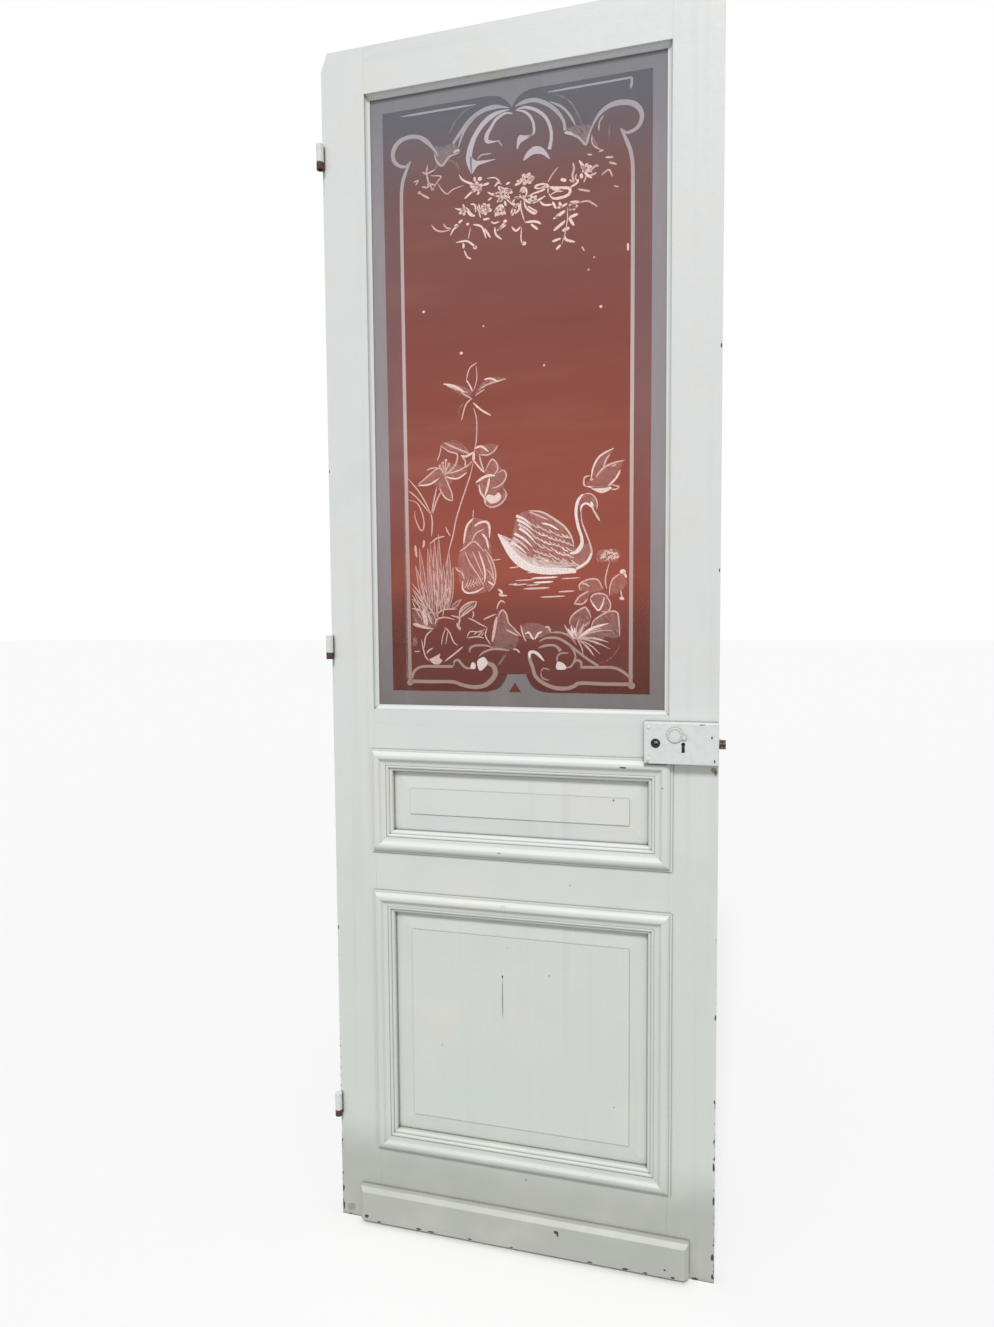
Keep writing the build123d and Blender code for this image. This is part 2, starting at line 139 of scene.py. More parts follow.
def patterns(tree, place, table):
    """Noise patterns by name, each from its size in mm, its stretch, its detail and roughness."""
    made = {}
    for name, size, stretch, detail, rough in table:
        laid = add_node(tree, "ShaderNodeMapping", {"Vector": place, "Scale": stretch})[0]
        made[name] = add_node(tree, "ShaderNodeTexNoise", {
            "Vector": laid, "Scale": 1 / (size * MM), "Detail": detail, "Roughness": rough})[0]
    return made


def tint(tree, colour, layers):
    """Lays tints over a colour. A layer's cover runs from none to most as its pattern runs."""
    for pattern, low, high, most, over in layers:
        cover = add_node(tree, "ShaderNodeMapRange", {
            "Value": pattern, "From Min": low, "From Max": high, "To Max": most},
            interpolation_type="SMOOTHSTEP")[0]
        colour = add_node(tree, "ShaderNodeMix", {0: cover, 6: colour, 7: tuple(over)},
                          data_type="RGBA")[2]
    return colour


def height_ramp(tree, height, stops):
    """A colour that changes with height; stops are heights in mm from the foot and colours."""
    low, high = stops[0][0], stops[-1][0]
    along = add_node(tree, "ShaderNodeMapRange", {
        "Value": height, "From Min": (low + LEAF_FOOT) * MM,
        "From Max": (high + LEAF_FOOT) * MM})[0]
    ramp = add_node(tree, "ShaderNodeValToRGB", {0: along})
    steps = ramp[0].node.color_ramp.elements
    for up, colour in stops[1:-1]:
        steps.new((up - low) / (high - low)).color = tuple(colour)
    steps[0].color, steps[-1].color = tuple(stops[0][1]), tuple(stops[-1][1])
    return ramp[0]


def arrises(tree, radius):
    """The rounded normal, the true one, and how far they part, which they do near an edge."""
    rounded = add_node(tree, "ShaderNodeBevel", {"Radius": radius}, samples=4)[0]
    true = add_node(tree, "ShaderNodeNewGeometry")["Normal"]
    agree = add_node(tree, "ShaderNodeVectorMath", {0: rounded, 1: true},
                     operation="DOT_PRODUCT")["Value"]
    apart = add_node(tree, "ShaderNodeMath", {0: 1.0, 1: agree}, operation="SUBTRACT")[0]
    return rounded, true, apart


def surface(tree, **inputs):
    """Ends a material in one shader with the given inputs."""
    shader = add_node(tree, "ShaderNodeBsdfPrincipled", {
        name.replace("_", " "): value for name, value in inputs.items()})[0]
    add_node(tree, "ShaderNodeOutputMaterial", {"Surface": shader})


def oil_paint(name, finish, grain):
    """Old brushed oil paint over pine: thick, slightly lumpy, semi-gloss, chipped at its edges.

    grain is the axis that the brush followed. The eye sees faint parallel brush marks, brown
    lines of grime and painted shade in the quirks, a foot darkened by grime and painted shade,
    and grey wood where paint has gone from edges.
    """
    material, tree = new_material(name)
    place = add_node(tree, "ShaderNodeTexCoord")["Object"]
    split = add_node(tree, "ShaderNodeSeparateXYZ", {0: place})
    even = (1, 1, 1)
    along = {"X": (1 / 40, 1, 1), "Z": (1, 1, 1 / 40)}[grain]
    noise = patterns(tree, place, (
        # brush marks are about 0.5 mm apart; they are drawn at 1.6 mm so that they show
        ("brush", 1.6, along, 2, 0.55), ("streaks", 24, along, 3, 0.6),
        ("lumps", 14, even, 3, 0.55), ("clouds", 160, even, 3, 0.55), ("flecks", 11, even, 4, 0.7)))
    # ambient occlusion over 6.5 mm: brown grime in the quirks and painted shade in every crease
    quirk_grime_and_shade = add_node(tree, "ShaderNodeAmbientOcclusion", {"Distance": 0.0065}, samples=6)["AO"]
    # ambient occlusion over 22 mm: grime and painted shade deep in the hollows
    recess_grime_and_shade = add_node(tree, "ShaderNodeAmbientOcclusion", {"Distance": 0.022}, samples=5)["AO"]

    # the paint greyer and darker towards the foot, and a band of grime and painted shade along the floor
    # the paint turns greyer and darker from mid-height down to the foot
    darker_towards_foot = add_node(tree, "ShaderNodeMapRange", {
        "Value": split["Z"], "From Min": 1.35, "From Max": -0.1})[0]
    cloudy = add_node(tree, "ShaderNodeMath", {0: noise["clouds"], 1: 0.6}, operation="ADD")[0]
    darker_towards_foot = add_node(tree, "ShaderNodeMath", {0: darker_towards_foot, 1: cloudy}, operation="MULTIPLY")[0]
    # grime and painted shade in a band along the floor
    floor_band_grime_and_shade = add_node(tree, "ShaderNodeMapRange", {
        "Value": split["Z"], "From Min": 0.03, "From Max": -0.10})[0]
    floor_band_grime_and_shade = add_node(tree, "ShaderNodeMath", {0: floor_band_grime_and_shade, 1: cloudy}, operation="MULTIPLY")[0]

    # small dark specks, one in every 40 mm or so
    spots = add_node(tree, "ShaderNodeTexVoronoi", {"Vector": place, "Scale": 26.0})
    chosen = add_node(tree, "ShaderNodeSeparateColor", {0: spots["Color"]})
    size = add_node(tree, "ShaderNodeMapRange", {
        "Value": chosen[0], "From Min": 0.74, "From Max": 1.0, "To Max": 0.055})[0]
    speck = add_node(tree, "ShaderNodeMath", {0: size, 1: spots["Distance"]},
                     operation="SUBTRACT")[0]

    # rubbed arrises, less so where they lie in a recess
    rounded, true, arris = arrises(tree, 0.0009)
    arris = add_node(tree, "ShaderNodeMath", {0: arris, 1: quirk_grime_and_shade}, operation="MULTIPLY")[0]
    rubbed = add_node(tree, "ShaderNodeMath", {0: arris, 1: noise["flecks"]},
                      operation="MULTIPLY")[0]

    # chips up to 7 mm in from the leaf's long edges and 10 mm up from its foot, larger and
    # more of them lower down
    half, bottom = LEAF_WIDTH / 2 * MM, LEAF_FOOT * MM
    across = add_node(tree, "ShaderNodeMath", {0: split["X"], 1: LEAF_LEFT * MM + half},
                      operation="SUBTRACT")[0]
    across = add_node(tree, "ShaderNodeMath", {0: across}, operation="ABSOLUTE")[0]
    side = add_node(tree, "ShaderNodeMapRange", {
        "Value": across, "From Min": half - 0.0070, "From Max": half - 0.0002})[0]
    foot = add_node(tree, "ShaderNodeMapRange", {
        "Value": split["Z"], "From Min": bottom + 0.0105, "From Max": bottom + 0.0005})[0]
    edge = add_node(tree, "ShaderNodeMath", {0: side, 1: foot}, operation="MAXIMUM")[0]
    # the flats of the edges keep most of their paint; the broad faces lose it there
    facing = add_node(tree, "ShaderNodeSeparateXYZ", {0: true})["Y"]
    facing = add_node(tree, "ShaderNodeMath", {0: facing}, operation="ABSOLUTE")[0]
    broad = add_node(tree, "ShaderNodeMapRange", {"Value": facing, "To Min": 0.3})[0]
    edge = add_node(tree, "ShaderNodeMath", {0: edge, 1: broad}, operation="MULTIPLY")[0]
    # a chip needs less of the flecks' pattern low down
    need = add_node(tree, "ShaderNodeMapRange", {
        "Value": split["Z"], "From Min": -0.2, "From Max": 0.7, "To Min": 0.71, "To Max": 0.90})[0]
    ragged = add_node(tree, "ShaderNodeMath", {0: edge, 1: 0.22, 2: noise["flecks"]},
                      operation="MULTIPLY_ADD")[0]
    ragged = add_node(tree, "ShaderNodeMath", {0: ragged, 1: need}, operation="SUBTRACT")[0]
    chip = add_node(tree, "ShaderNodeMath", {0: ragged, 1: edge}, operation="MULTIPLY")[0]

    colour = tint(tree, tuple(finish.paint), (
        # paler above, greyer and darker towards the foot
        (darker_towards_foot, 0.0, 1.1, 1.0, finish.paint_darker),
        (noise["clouds"], 0.50, 0.72, 0.30, linear("#CDD7D8")),
        (noise["clouds"], 0.47, 0.28, 0.45, linear("#DEDACB")),
        (noise["streaks"], 0.52, 0.75, 0.07, finish.dirt_with_shade),
        (noise["brush"], 0.55, 0.85, 0.07, finish.dirt_with_shade),
        # grime and painted shade along the floor
        (floor_band_grime_and_shade, 0.1, 1.3, 0.50, finish.dirt_with_shade),
        # painted shade and grime deep in the hollows
        (recess_grime_and_shade, 0.85, 0.30, 0.38, finish.dirt_with_shade),
        # painted shade and brown grime in the creases
        (quirk_grime_and_shade, 0.80, 0.36, 0.90, finish.old_grime_and_crease_shade),
        (speck, 0.0, 0.012, 0.70, finish.bare_wood),
        (rubbed, 0.055, 0.10, 0.35, finish.dirt_with_shade),
        (chip, 0.0, 0.010, 1.0, finish.bare_wood)))

    relief = add_node(tree, "ShaderNodeMath", {0: noise["brush"], 1: 0.3, 2: noise["lumps"]},
                      operation="MULTIPLY_ADD")[0]
    lost = add_node(tree, "ShaderNodeMapRange", {"Value": chip, "From Max": 0.010})[0]
    relief = add_node(tree, "ShaderNodeMath", {0: relief, 1: lost}, operation="SUBTRACT")[0]
    bump = add_node(tree, "ShaderNodeBump", {
        "Height": relief, "Distance": 0.0006, "Strength": 0.45, "Normal": rounded})[0]
    sheen = add_node(tree, "ShaderNodeMapRange", {
        "Value": noise["lumps"], "To Min": 0.38, "To Max": 0.56})[0]
    surface(tree, Base_Color=colour, Roughness=sheen, IOR=1.48, Normal=bump)
    return material


def painted_steel(name, finish):
    """Pressed or forged steel under the door's own paint, rubbed through to rust at its edges.

    The hinge knuckles are bare and rusty for 15 mm above their bearing faces, because the other
    halves kept the paint off. The eye sees smooth thick paint with brown grime and painted shade
    at every step.
    """
    material, tree = new_material(name)
    place = add_node(tree, "ShaderNodeTexCoord")["Object"]
    split = add_node(tree, "ShaderNodeSeparateXYZ", {0: place})
    even = (1, 1, 1)
    noise = patterns(tree, place, (("lumps", 9, even, 3, 0.55), ("flecks", 3.5, even, 4, 0.7)))
    # ambient occlusion over 4.5 mm: brown grime and painted shade round every step
    quirk_grime_and_shade = add_node(tree, "ShaderNodeAmbientOcclusion", {"Distance": 0.0045}, samples=6)["AO"]
    # the height above the nearest bearing face below, ragged by 6 mm
    above = add_node(tree, "ShaderNodeMath", {0: split["Z"], 1: HINGE_PITCH},
                     operation="FLOORED_MODULO")[0]
    ragged = add_node(tree, "ShaderNodeMath", {0: noise["flecks"], 1: 0.006, 2: above},
                      operation="MULTIPLY_ADD")[0]
    bare = add_node(tree, "ShaderNodeMapRange", {
        "Value": ragged, "From Min": 0.0180, "From Max": 0.0165})[0]
    # left of here is only the hinges' steel
    knuckle = add_node(tree, "ShaderNodeMath", {0: split["X"], 1: 0.012}, operation="LESS_THAN")[0]
    bare = add_node(tree, "ShaderNodeMath", {0: bare, 1: knuckle}, operation="MULTIPLY")[0]
    rounded, _, arris = arrises(tree, 0.0006)
    rubbed = add_node(tree, "ShaderNodeMath", {0: arris, 1: noise["flecks"]},
                      operation="MULTIPLY")[0]
    rusty = tint(tree, tuple(finish.rust), ((noise["flecks"], 0.40, 0.62, 1.0, linear("#241D1A")),))
    colour = tint(tree, tuple(finish.paint), (
        (noise["lumps"], 0.4, 0.7, 0.6, finish.paint_darker),
        # painted shade and brown grime round every step
        (quirk_grime_and_shade, 0.92, 0.45, 0.9, finish.old_grime_and_crease_shade),
        (rubbed, 0.08, 0.13, 0.6, finish.rust)))
    colour = add_node(tree, "ShaderNodeMix", {0: bare, 6: colour, 7: rusty}, data_type="RGBA")[2]
    bump = add_node(tree, "ShaderNodeBump", {
        "Height": noise["lumps"], "Distance": 0.0005, "Strength": 0.5, "Normal": rounded})[0]
    rough = add_node(tree, "ShaderNodeMapRange", {"Value": bare, "To Min": 0.42, "To Max": 0.8})[0]
    surface(tree, Base_Color=colour, Roughness=rough, IOR=1.48, Normal=bump)
    return material


def dull_metal(name, light, dark, grain_mm, metallic, roughness):
    """Unpainted old metal, mottled between two colours by grease and rust."""
    material, tree = new_material(name)
    place = add_node(tree, "ShaderNodeTexCoord")["Object"]
    mottle = patterns(tree, place, (("mottle", grain_mm, (1, 1, 1), 4, 0.65),))["mottle"]
    colour = tint(tree, light, ((mottle, 0.38, 0.62, 1.0, dark),))
    bump = add_node(tree, "ShaderNodeBump", {
        "Height": mottle, "Distance": 0.0002, "Strength": 0.6})[0]
    surface(tree, Base_Color=colour, Metallic=metallic, Roughness=roughness, Normal=bump)
    return material


def bare_patch(name, light, dark, roughness, cover=1.0):
    """Old wood, rust or stain in its paint, or the painted shade of a hole: dry, matt and mottled at 2 mm."""
    material, tree = new_material(name)
    place = add_node(tree, "ShaderNodeTexCoord")["Object"]
    mottle = patterns(tree, place, (("mottle", 2.0, (1, 1, 1), 4, 0.65),))["mottle"]
    colour = tint(tree, light, ((mottle, 0.38, 0.62, 1.0, dark),))
    surface(tree, Base_Color=colour, Roughness=roughness, IOR=1.45, Alpha=cover)
    return material


def tinted_glass(name, finish):
    """Flat drawn glass, tinted red-brown and greyed at its head by a painted reflection; clear
    where it isn't etched.

    The eye sees a deep colour with faint level cloud in it. Dust takes some of its gloss, so
    the specular level is below that of clean glass.
    """
    material, tree = new_material(name)
    place = add_node(tree, "ShaderNodeTexCoord")["Object"]
    split = add_node(tree, "ShaderNodeSeparateXYZ", {0: place})
    cloud = patterns(tree, place, (("cloud", 70, (1 / 6, 1, 1), 4, 0.6),))["cloud"]
    # red-brown up the pane, greying from 2170 mm up into a painted reflection at the head
    colour = height_ramp(tree, split["Z"], (
        (1170, finish.glass_foot), (1300, linear("#6C2616")), (1400, finish.glass_low),
        (1880, finish.glass_middle), (2170, finish.glass_high), (2330, finish.glass_head)))
    colour = tint(tree, colour, ((cloud, 0.50, 0.78, 0.16, linear("#B8806E")),
                                 (cloud, 0.46, 0.25, 0.25, linear("#4A140A"))))
    surface(tree, Base_Color=colour, Roughness=0.0, IOR=1.52, Specular_IOR_Level=0.3,
            Transmission_Weight=1.0)
    return material


def etched_glass(name, colour, cover, grain):
    """Acid-etched glass: matt, it scatters light and looks pale.

    cover is the least and the most of the clear glass that the etch hides; grain is the size in
    mm, its stretch and its turn in degrees about the pane's face, for the etcher's hatching.
    """
    material, tree = new_material(name)
    place = add_node(tree, "ShaderNodeTexCoord")["Object"]
    size, stretch, turn = grain
    laid = add_node(tree, "ShaderNodeMapping", {
        "Vector": place, "Rotation": (0, math.radians(turn), 0)})[0]
    stipple = patterns(tree, laid, (("stipple", size, stretch, 3, 0.55),))["stipple"]
    strength = add_node(tree, "ShaderNodeMapRange", {
        "Value": stipple, "From Min": 0.36, "From Max": 0.66,
        "To Min": cover[0], "To Max": cover[1]})[0]
    surface(tree, Base_Color=colour, Roughness=0.75, IOR=1.52, Alpha=strength)
    return material


def even_frost(name, stops, cover):
    """An evenly frosted stretch of the pane, whose tone changes with height."""
    material, tree = new_material(name)
    place = add_node(tree, "ShaderNodeTexCoord")["Object"]
    split = add_node(tree, "ShaderNodeSeparateXYZ", {0: place})
    cloud = patterns(tree, place, (("cloud", 40, (1, 1, 1 / 4), 3, 0.55),))["cloud"]
    colour = height_ramp(tree, split["Z"], stops)
    colour = tint(tree, colour, ((cloud, 0.45, 0.75, 0.10, linear("#BDB4BA")),))
    surface(tree, Base_Color=colour, Roughness=0.8, IOR=1.52, Alpha=cover)
    return material


# Meshes

def finish_piece(name, bm, materials, body, smooth=False):
    """Turns a bmesh into a piece that rides on a body, with the given materials."""
    mesh = bpy.data.meshes.new(name)
    bm.to_mesh(mesh)
    bm.free()
    for material in materials:
        mesh.materials.append(material)
    if smooth:
        for polygon in mesh.polygons:
            polygon.use_smooth = True
    piece = bpy.data.objects.new(name, mesh)
    bpy.context.scene.collection.objects.link(piece)
    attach(piece, body)


def flow(points, steps=6, closed=False):
    """A smooth line through given points: Catmull-Rom, on every value of a point."""
    count = len(points)
    out = []
    last = count if closed else count - 1
    for i in range(last):
        if closed:
            a, b, c, d = (points[(i + k) % count] for k in (-1, 0, 1, 2))
        else:
            a, b, c, d = (points[min(max(i + k, 0), count - 1)] for k in (-1, 0, 1, 2))
        for s in range(steps):
            t = s / steps
            out.append(tuple(
                0.5 * (2 * q + (r - p) * t + (2 * p - 5 * q + 4 * r - w) * t * t
                       + (3 * q - p - 3 * r + w) * t ** 3)
                for p, q, r, w in zip(a, b, c, d)))
    if not closed:
        out.append(tuple(points[-1]))
    return out


DEEP, LIGHT, SHADE = 0, 1, 2
FILLED = 0  # stands for a width in the tables of strokes: the points bound a filled shape
TAPER = 3.0  # a stroke reaches its full width over a quarter of its length


class Etching:
    """Thin frosted films on the face of the pane, drawn in mm from the leaf's lower left corner."""

    def __init__(self, step, fineness=1.0):
        self.bm = bmesh.new()
        self.step = step
        self.fineness = fineness

    def vertex(self, x, z, tone):
        """A corner of a film; the brighter its tone, the further forward it lies."""
        depth = GLASS_FRONT * MM - self.step * (3 - tone)
        return self.bm.verts.new(((x + LEAF_LEFT) * MM, depth, (z + LEAF_FOOT) * MM))

    def line(self, points, width, tone=DEEP, taper="both", steps=6):
        """A stroke through points; a point's third value swells it there.

        width may be a pair, from its start to its end. taper says which ends are thinned.
        """
        first, last = width if isinstance(width, tuple) else (width, width)
        path = flow([p if len(p) == 3 else (*p, 1.0) for p in points], steps)
        count = len(path)
        pairs = []
        for i, (x, z, swell) in enumerate(path):
            ax, az, _ = path[max(i - 1, 0)]
            bx, bz, _ = path[min(i + 1, count - 1)]
            run = math.hypot(bx - ax, bz - az) or 1.0
            nx, nz = -(bz - az) / run, (bx - ax) / run
            t = i / (count - 1)
            ease = 1.0
            if taper in ("both", "start"):
                ease = min(ease, 0.3 + TAPER * t)
            if taper in ("both", "end"):
                ease = min(ease, 0.3 + TAPER * (1 - t))
            half = (first + (last - first) * t) * max(swell, 0.1) * ease * self.fineness / 2
            pairs.append((self.vertex(x + nx * half, z + nz * half, tone),
                          self.vertex(x - nx * half, z - nz * half, tone)))
        for (a, b), (c, d) in zip(pairs, pairs[1:]):
            self.bm.faces.new((a, b, d, c)).material_index = tone

    def fill(self, outlines, tone=SHADE, smooth=True):
        """A filled shape; further outlines are holes in it."""
        edges = []
        for outline in outlines:
            path = flow(outline, steps=5, closed=True) if smooth else outline
            ring = [self.vertex(x, z, tone) for x, z in path]
            edges += [self.bm.edges.new((a, b)) for a, b in zip(ring, ring[1:] + ring[:1])]
        made = bmesh.ops.triangle_fill(self.bm, use_beauty=True, edges=edges)
        for item in made["geom"]:
            if isinstance(item, bmesh.types.BMFace):
                item.material_index = tone

    def petal(self, base, tip, width, bend, tone, line):
        """A pointed leaf or petal, shaded inside and outlined."""
        bx, bz = base
        dx, dz = tip[0] - bx, tip[1] - bz
        length = math.hypot(dx, dz)
        ux, uz = dx / length, dz / length

        def at(t, side):
            swell = math.sin(math.pi * t ** 0.8) * width / 2 * side
            lean = bend * math.sin(math.pi * t * 0.5) * t
            return (bx + ux * length * t - uz * (swell + lean),
                    bz + uz * length * t + ux * (swell + lean))

        one = [at(t, 1) for t in (0, 0.25, 0.5, 0.75, 1)]
        two = [at(t, -1) for t in (0, 0.25, 0.5, 0.75, 1)]
        self.fill([one + two[-2:0:-1]])
        self.line(one, line, tone)
        self.line(two, line, tone)

    def dot(self, x, z, radius, tone=DEEP, squash=1.0):
        """A filled round spot."""
        corners = 14
        ring = [(x + radius * math.cos(a), z + radius * squash * math.sin(a))
                for a in (math.tau * k / corners for k in range(corners))]
        self.fill([ring], tone, smooth=False)

    def draw(self, table):
        """Draws a table of strokes and filled shapes.

        A row holds a tone, a width or FILLED, and points. A word before the width says which
        ends taper, or that the shape's sides are straight.
        """
        for tone, *rest in table:
            how = rest.pop(0) if isinstance(rest[0], str) else "both"
            width, *points = rest
            if width == FILLED:
                self.fill([points], tone, smooth=how != "straight")
            else:
                self.line(points, width, tone, how)

    def finish(self, name, frost):
        """Makes the films one piece, in the three depths of a frost."""
        finish_piece(name, self.bm, etch_materials(frost), "leaf")


def etch_materials(frost):
    """The three depths of the etching: bright, half, and hatched with a needle."""
    hue = tuple(getattr(bpy.context.scene.door_finish, frost))
    even = (1, 1, 1)
    made = []
    # the needle's hatching is under 1 mm apart; it is drawn at 1.7 mm so that it shows
    for name, cover, grain in (
            ("deep", (0.70, 1.0), (3.0, even, 0)),
            ("light", (0.46, 0.72), (2.5, even, 0)),
            ("hatched", (0.0, 0.22), (1.7, (1, 1, 1 / 9), 38))):
        name = f"{name}_etched_glass_{frost}"
        made.append(bpy.data.materials.get(name) or etched_glass(name, hue, cover, grain))
    return made


# The picture on the pane, in mm from the leaf's lower left corner

FRAME_LINES = (
    # uprights with their bends, and their looped ends
    ("none", 4, (172, 1197), (169.5, 1560), (167.5, 1900), (167, 2150), (169, 2202), (176, 2226),
     (187.5, 2249, 0.5)),
    ("none", 4, (631.5, 1197), (632.5, 1560), (633.5, 1900), (633.5, 2150), (631, 2196),
     (624, 2220), (611, 2249, 0.5)),
    ("end", 6, (188, 2250, 0.2), (176, 2240, 0.7), (158, 2247), (150, 2262, 1.1), (154, 2280, 1.3),
     (167, 2292, 1.2), (187, 2296.5, 1.1), (207, 2293, 1.1), (224, 2281, 1.3), (240, 2262, 0.9),
     (246, 2250, 0.5)),
    ("end", 6, (611, 2250, 0.2), (623, 2240, 0.7), (642, 2247), (650, 2264, 1.1), (645, 2281, 1.3),
     (630, 2293, 1.4), (606, 2297, 1.4), (586, 2293, 1.2), (571, 2283), (560, 2268),
     (555, 2256, 0.6)),
    # scrolls along the foot
    ("none", 6, (172, 1193), (220, 1193), (266, 1193, 0.95), (286, 1187), (308, 1183, 1.1),
     (330, 1185, 1.2), (346, 1195, 1.4), (357, 1211, 1.4), (353, 1227, 1.3), (339, 1233)),
    ("none", 6, (632, 1193), (580, 1193), (532, 1194), (520, 1188), (504, 1183, 1.1),
     (480, 1184, 1.1), (456, 1194), (441, 1207), (435, 1226), (429, 1243), (430, 1255, 0.8)))

FRAME_STROKES = (
    # a short stroke inside the right loop
    (LIGHT, 3, (569, 2251), (570, 2266), (578, 2279)),
    # thin lines under the border
    (LIGHT, 4, (168, 2338.5), (250, 2338.5), (326, 2338)),
    (LIGHT, "start", 4, (470, 2338), (550, 2338.5), (631, 2339)),
    (LIGHT, "end", 4.5, (631, 2339), (631, 2331), (629, 2319)),
    (SHADE, 3, (317, 2336), (297, 2325), (281, 2309), (268, 2288)),
    (SHADE, 3, (484, 2333), (510, 2317), (526, 2293), (538, 2265)),
    # ribbons that spring from the cusp of the border
    (LIGHT, "start", 8.5, (394, 2321, 0.5), (368, 2327), (340, 2324), (313, 2309), (293, 2288, 0.8),
     (278, 2270, 0.6)),
    (LIGHT, 4, (330, 2318), (309, 2300), (296, 2280), (289.5, 2262)),
    (LIGHT, "start", 8, (405, 2321, 0.5), (418, 2326), (441, 2328), (463, 2320), (485, 2303, 0.9),
     (500, 2282, 0.7), (504, 2262, 0.8)),
    (LIGHT, 4.5, (474, 2320), (498, 2306), (514, 2287), (524, 2268)),
    (DEEP, "start", 9.5, (394, 2318, 0.5), (366, 2314), (342, 2300), (323, 2277), (313, 2252, 1.2),
     (311, 2232, 1.2), (316, 2208, 0.3)),
    (DEEP, FILLED, (313, 2240), (325, 2231), (345, 2229), (366, 2228), (345, 2224), (328, 2220),
     (316, 2207)),
    (LIGHT, 3, (328, 2233), (337, 2240), (357, 2240)),
    (DEEP, "start", 6, (407, 2315, 0.6), (424, 2317), (446, 2309), (465, 2293), (475, 2272),
     (477, 2252), (473, 2231, 1.2)),
    (DEEP, 6, (400, 2309), (386, 2312), (368, 2304), (357, 2290), (348, 2276, 1.4),
     (348, 2265, 1.3), (358, 2262), (374, 2262, 0.5)),
    (LIGHT, 2.5, (371, 2262), (375, 2257), (379, 2251)),
    (DEEP, 5, (408, 2314), (422, 2310), (435, 2299), (442, 2283), (442, 2266), (430, 2261)),
    (DEEP, FILLED, (441, 2264), (426, 2264), (414, 2266), (409, 2256), (409, 2240), (416, 2251),
     (428, 2257)),
    (DEEP, FILLED, (422, 2217), (428, 2231), (444, 2241), (462, 2234), (474, 2213), (458, 2224),
     (441, 2226)),
    # half-tone webs between the loops and the ribbons
    (SHADE, FILLED, (238, 2270), (255, 2268), (277, 2270), (290, 2262), (291, 2251), (272, 2247),
     (265, 2241), (254, 2231), (243, 2242), (238, 2252)),
    (SHADE, FILLED, (505, 2262), (524, 2268), (543, 2266), (556, 2262), (550, 2246), (544, 2230),
     (532, 2243), (518, 2252)),
    (LIGHT, 4.5, (239, 2256), (243, 2242), (254, 2231), (265, 2241), (272, 2247), (291, 2251)),
    (LIGHT, 4.5, (503, 2259), (518, 2252), (532, 2243), (544, 2230), (550, 2246), (556, 2262)),
    (DEEP, 5, (279, 2252), (285, 2256), (292, 2255)),
    (DEEP, 6, (503, 2258), (511, 2256), (520, 2252)),
    # scrolls along the foot
    (LIGHT, "none", 5.5, (176, 1200), (182, 1215), (198, 1224), (230, 1225), (266, 1225)),
    (LIGHT, 5, (268, 1225), (269, 1235), (277, 1239), (284, 1232), (292, 1224), (304, 1222),
     (311, 1229, 1.6)),
    (LIGHT, "none", 5.5, (631, 1206), (613, 1220), (594, 1226), (560, 1226), (532, 1226)),
    (LIGHT, 5, (533, 1227), (534, 1235), (527, 1240), (522, 1236)),
    (DEEP, FILLED, (319, 1237), (333, 1245), (341, 1233), (330, 1219), (322, 1219)),
    (DEEP, FILLED, (304, 1222), (308, 1234), (315, 1230), (314, 1221)),
    (DEEP, FILLED, (484, 1222), (486, 1236), (497, 1234), (504, 1226), (500, 1221)),
    (DEEP, 6, (429, 1243), (430, 1255), (443, 1254), (459, 1238)),
    (LIGHT, "start", 5, (449, 1277), (463, 1284), (486, 1284), (504, 1275), (520, 1263),
     (543, 1245), (568, 1229)),
    (LIGHT, 4, (470, 1295), (493, 1295), (513, 1286), (525, 1270)),
    (LIGHT, "start", 5, (447, 1264), (463, 1269), (481, 1269), (493, 1258, 1.4)),
    (LIGHT, 3.5, (486, 1233), (486, 1247), (495, 1254), (509, 1254)),
    (LIGHT, 4, (500, 1225), (513, 1227), (522, 1243), (520, 1257), (509, 1270)),
    (LIGHT, 3, (452, 1216), (458, 1223), (470, 1220)),
    (LIGHT, 3, (452, 1215), (456, 1203), (470, 1199)),
    (LIGHT, 4.5, (303, 1254), (304, 1263), (315, 1268.5), (336, 1269), (354, 1264)),
    (LIGHT, 4.5, (322, 1246), (333, 1255), (350, 1261), (372, 1261), (387, 1258)),
    (SHADE, 5, (380, 1252), (372, 1240), (363, 1228)))

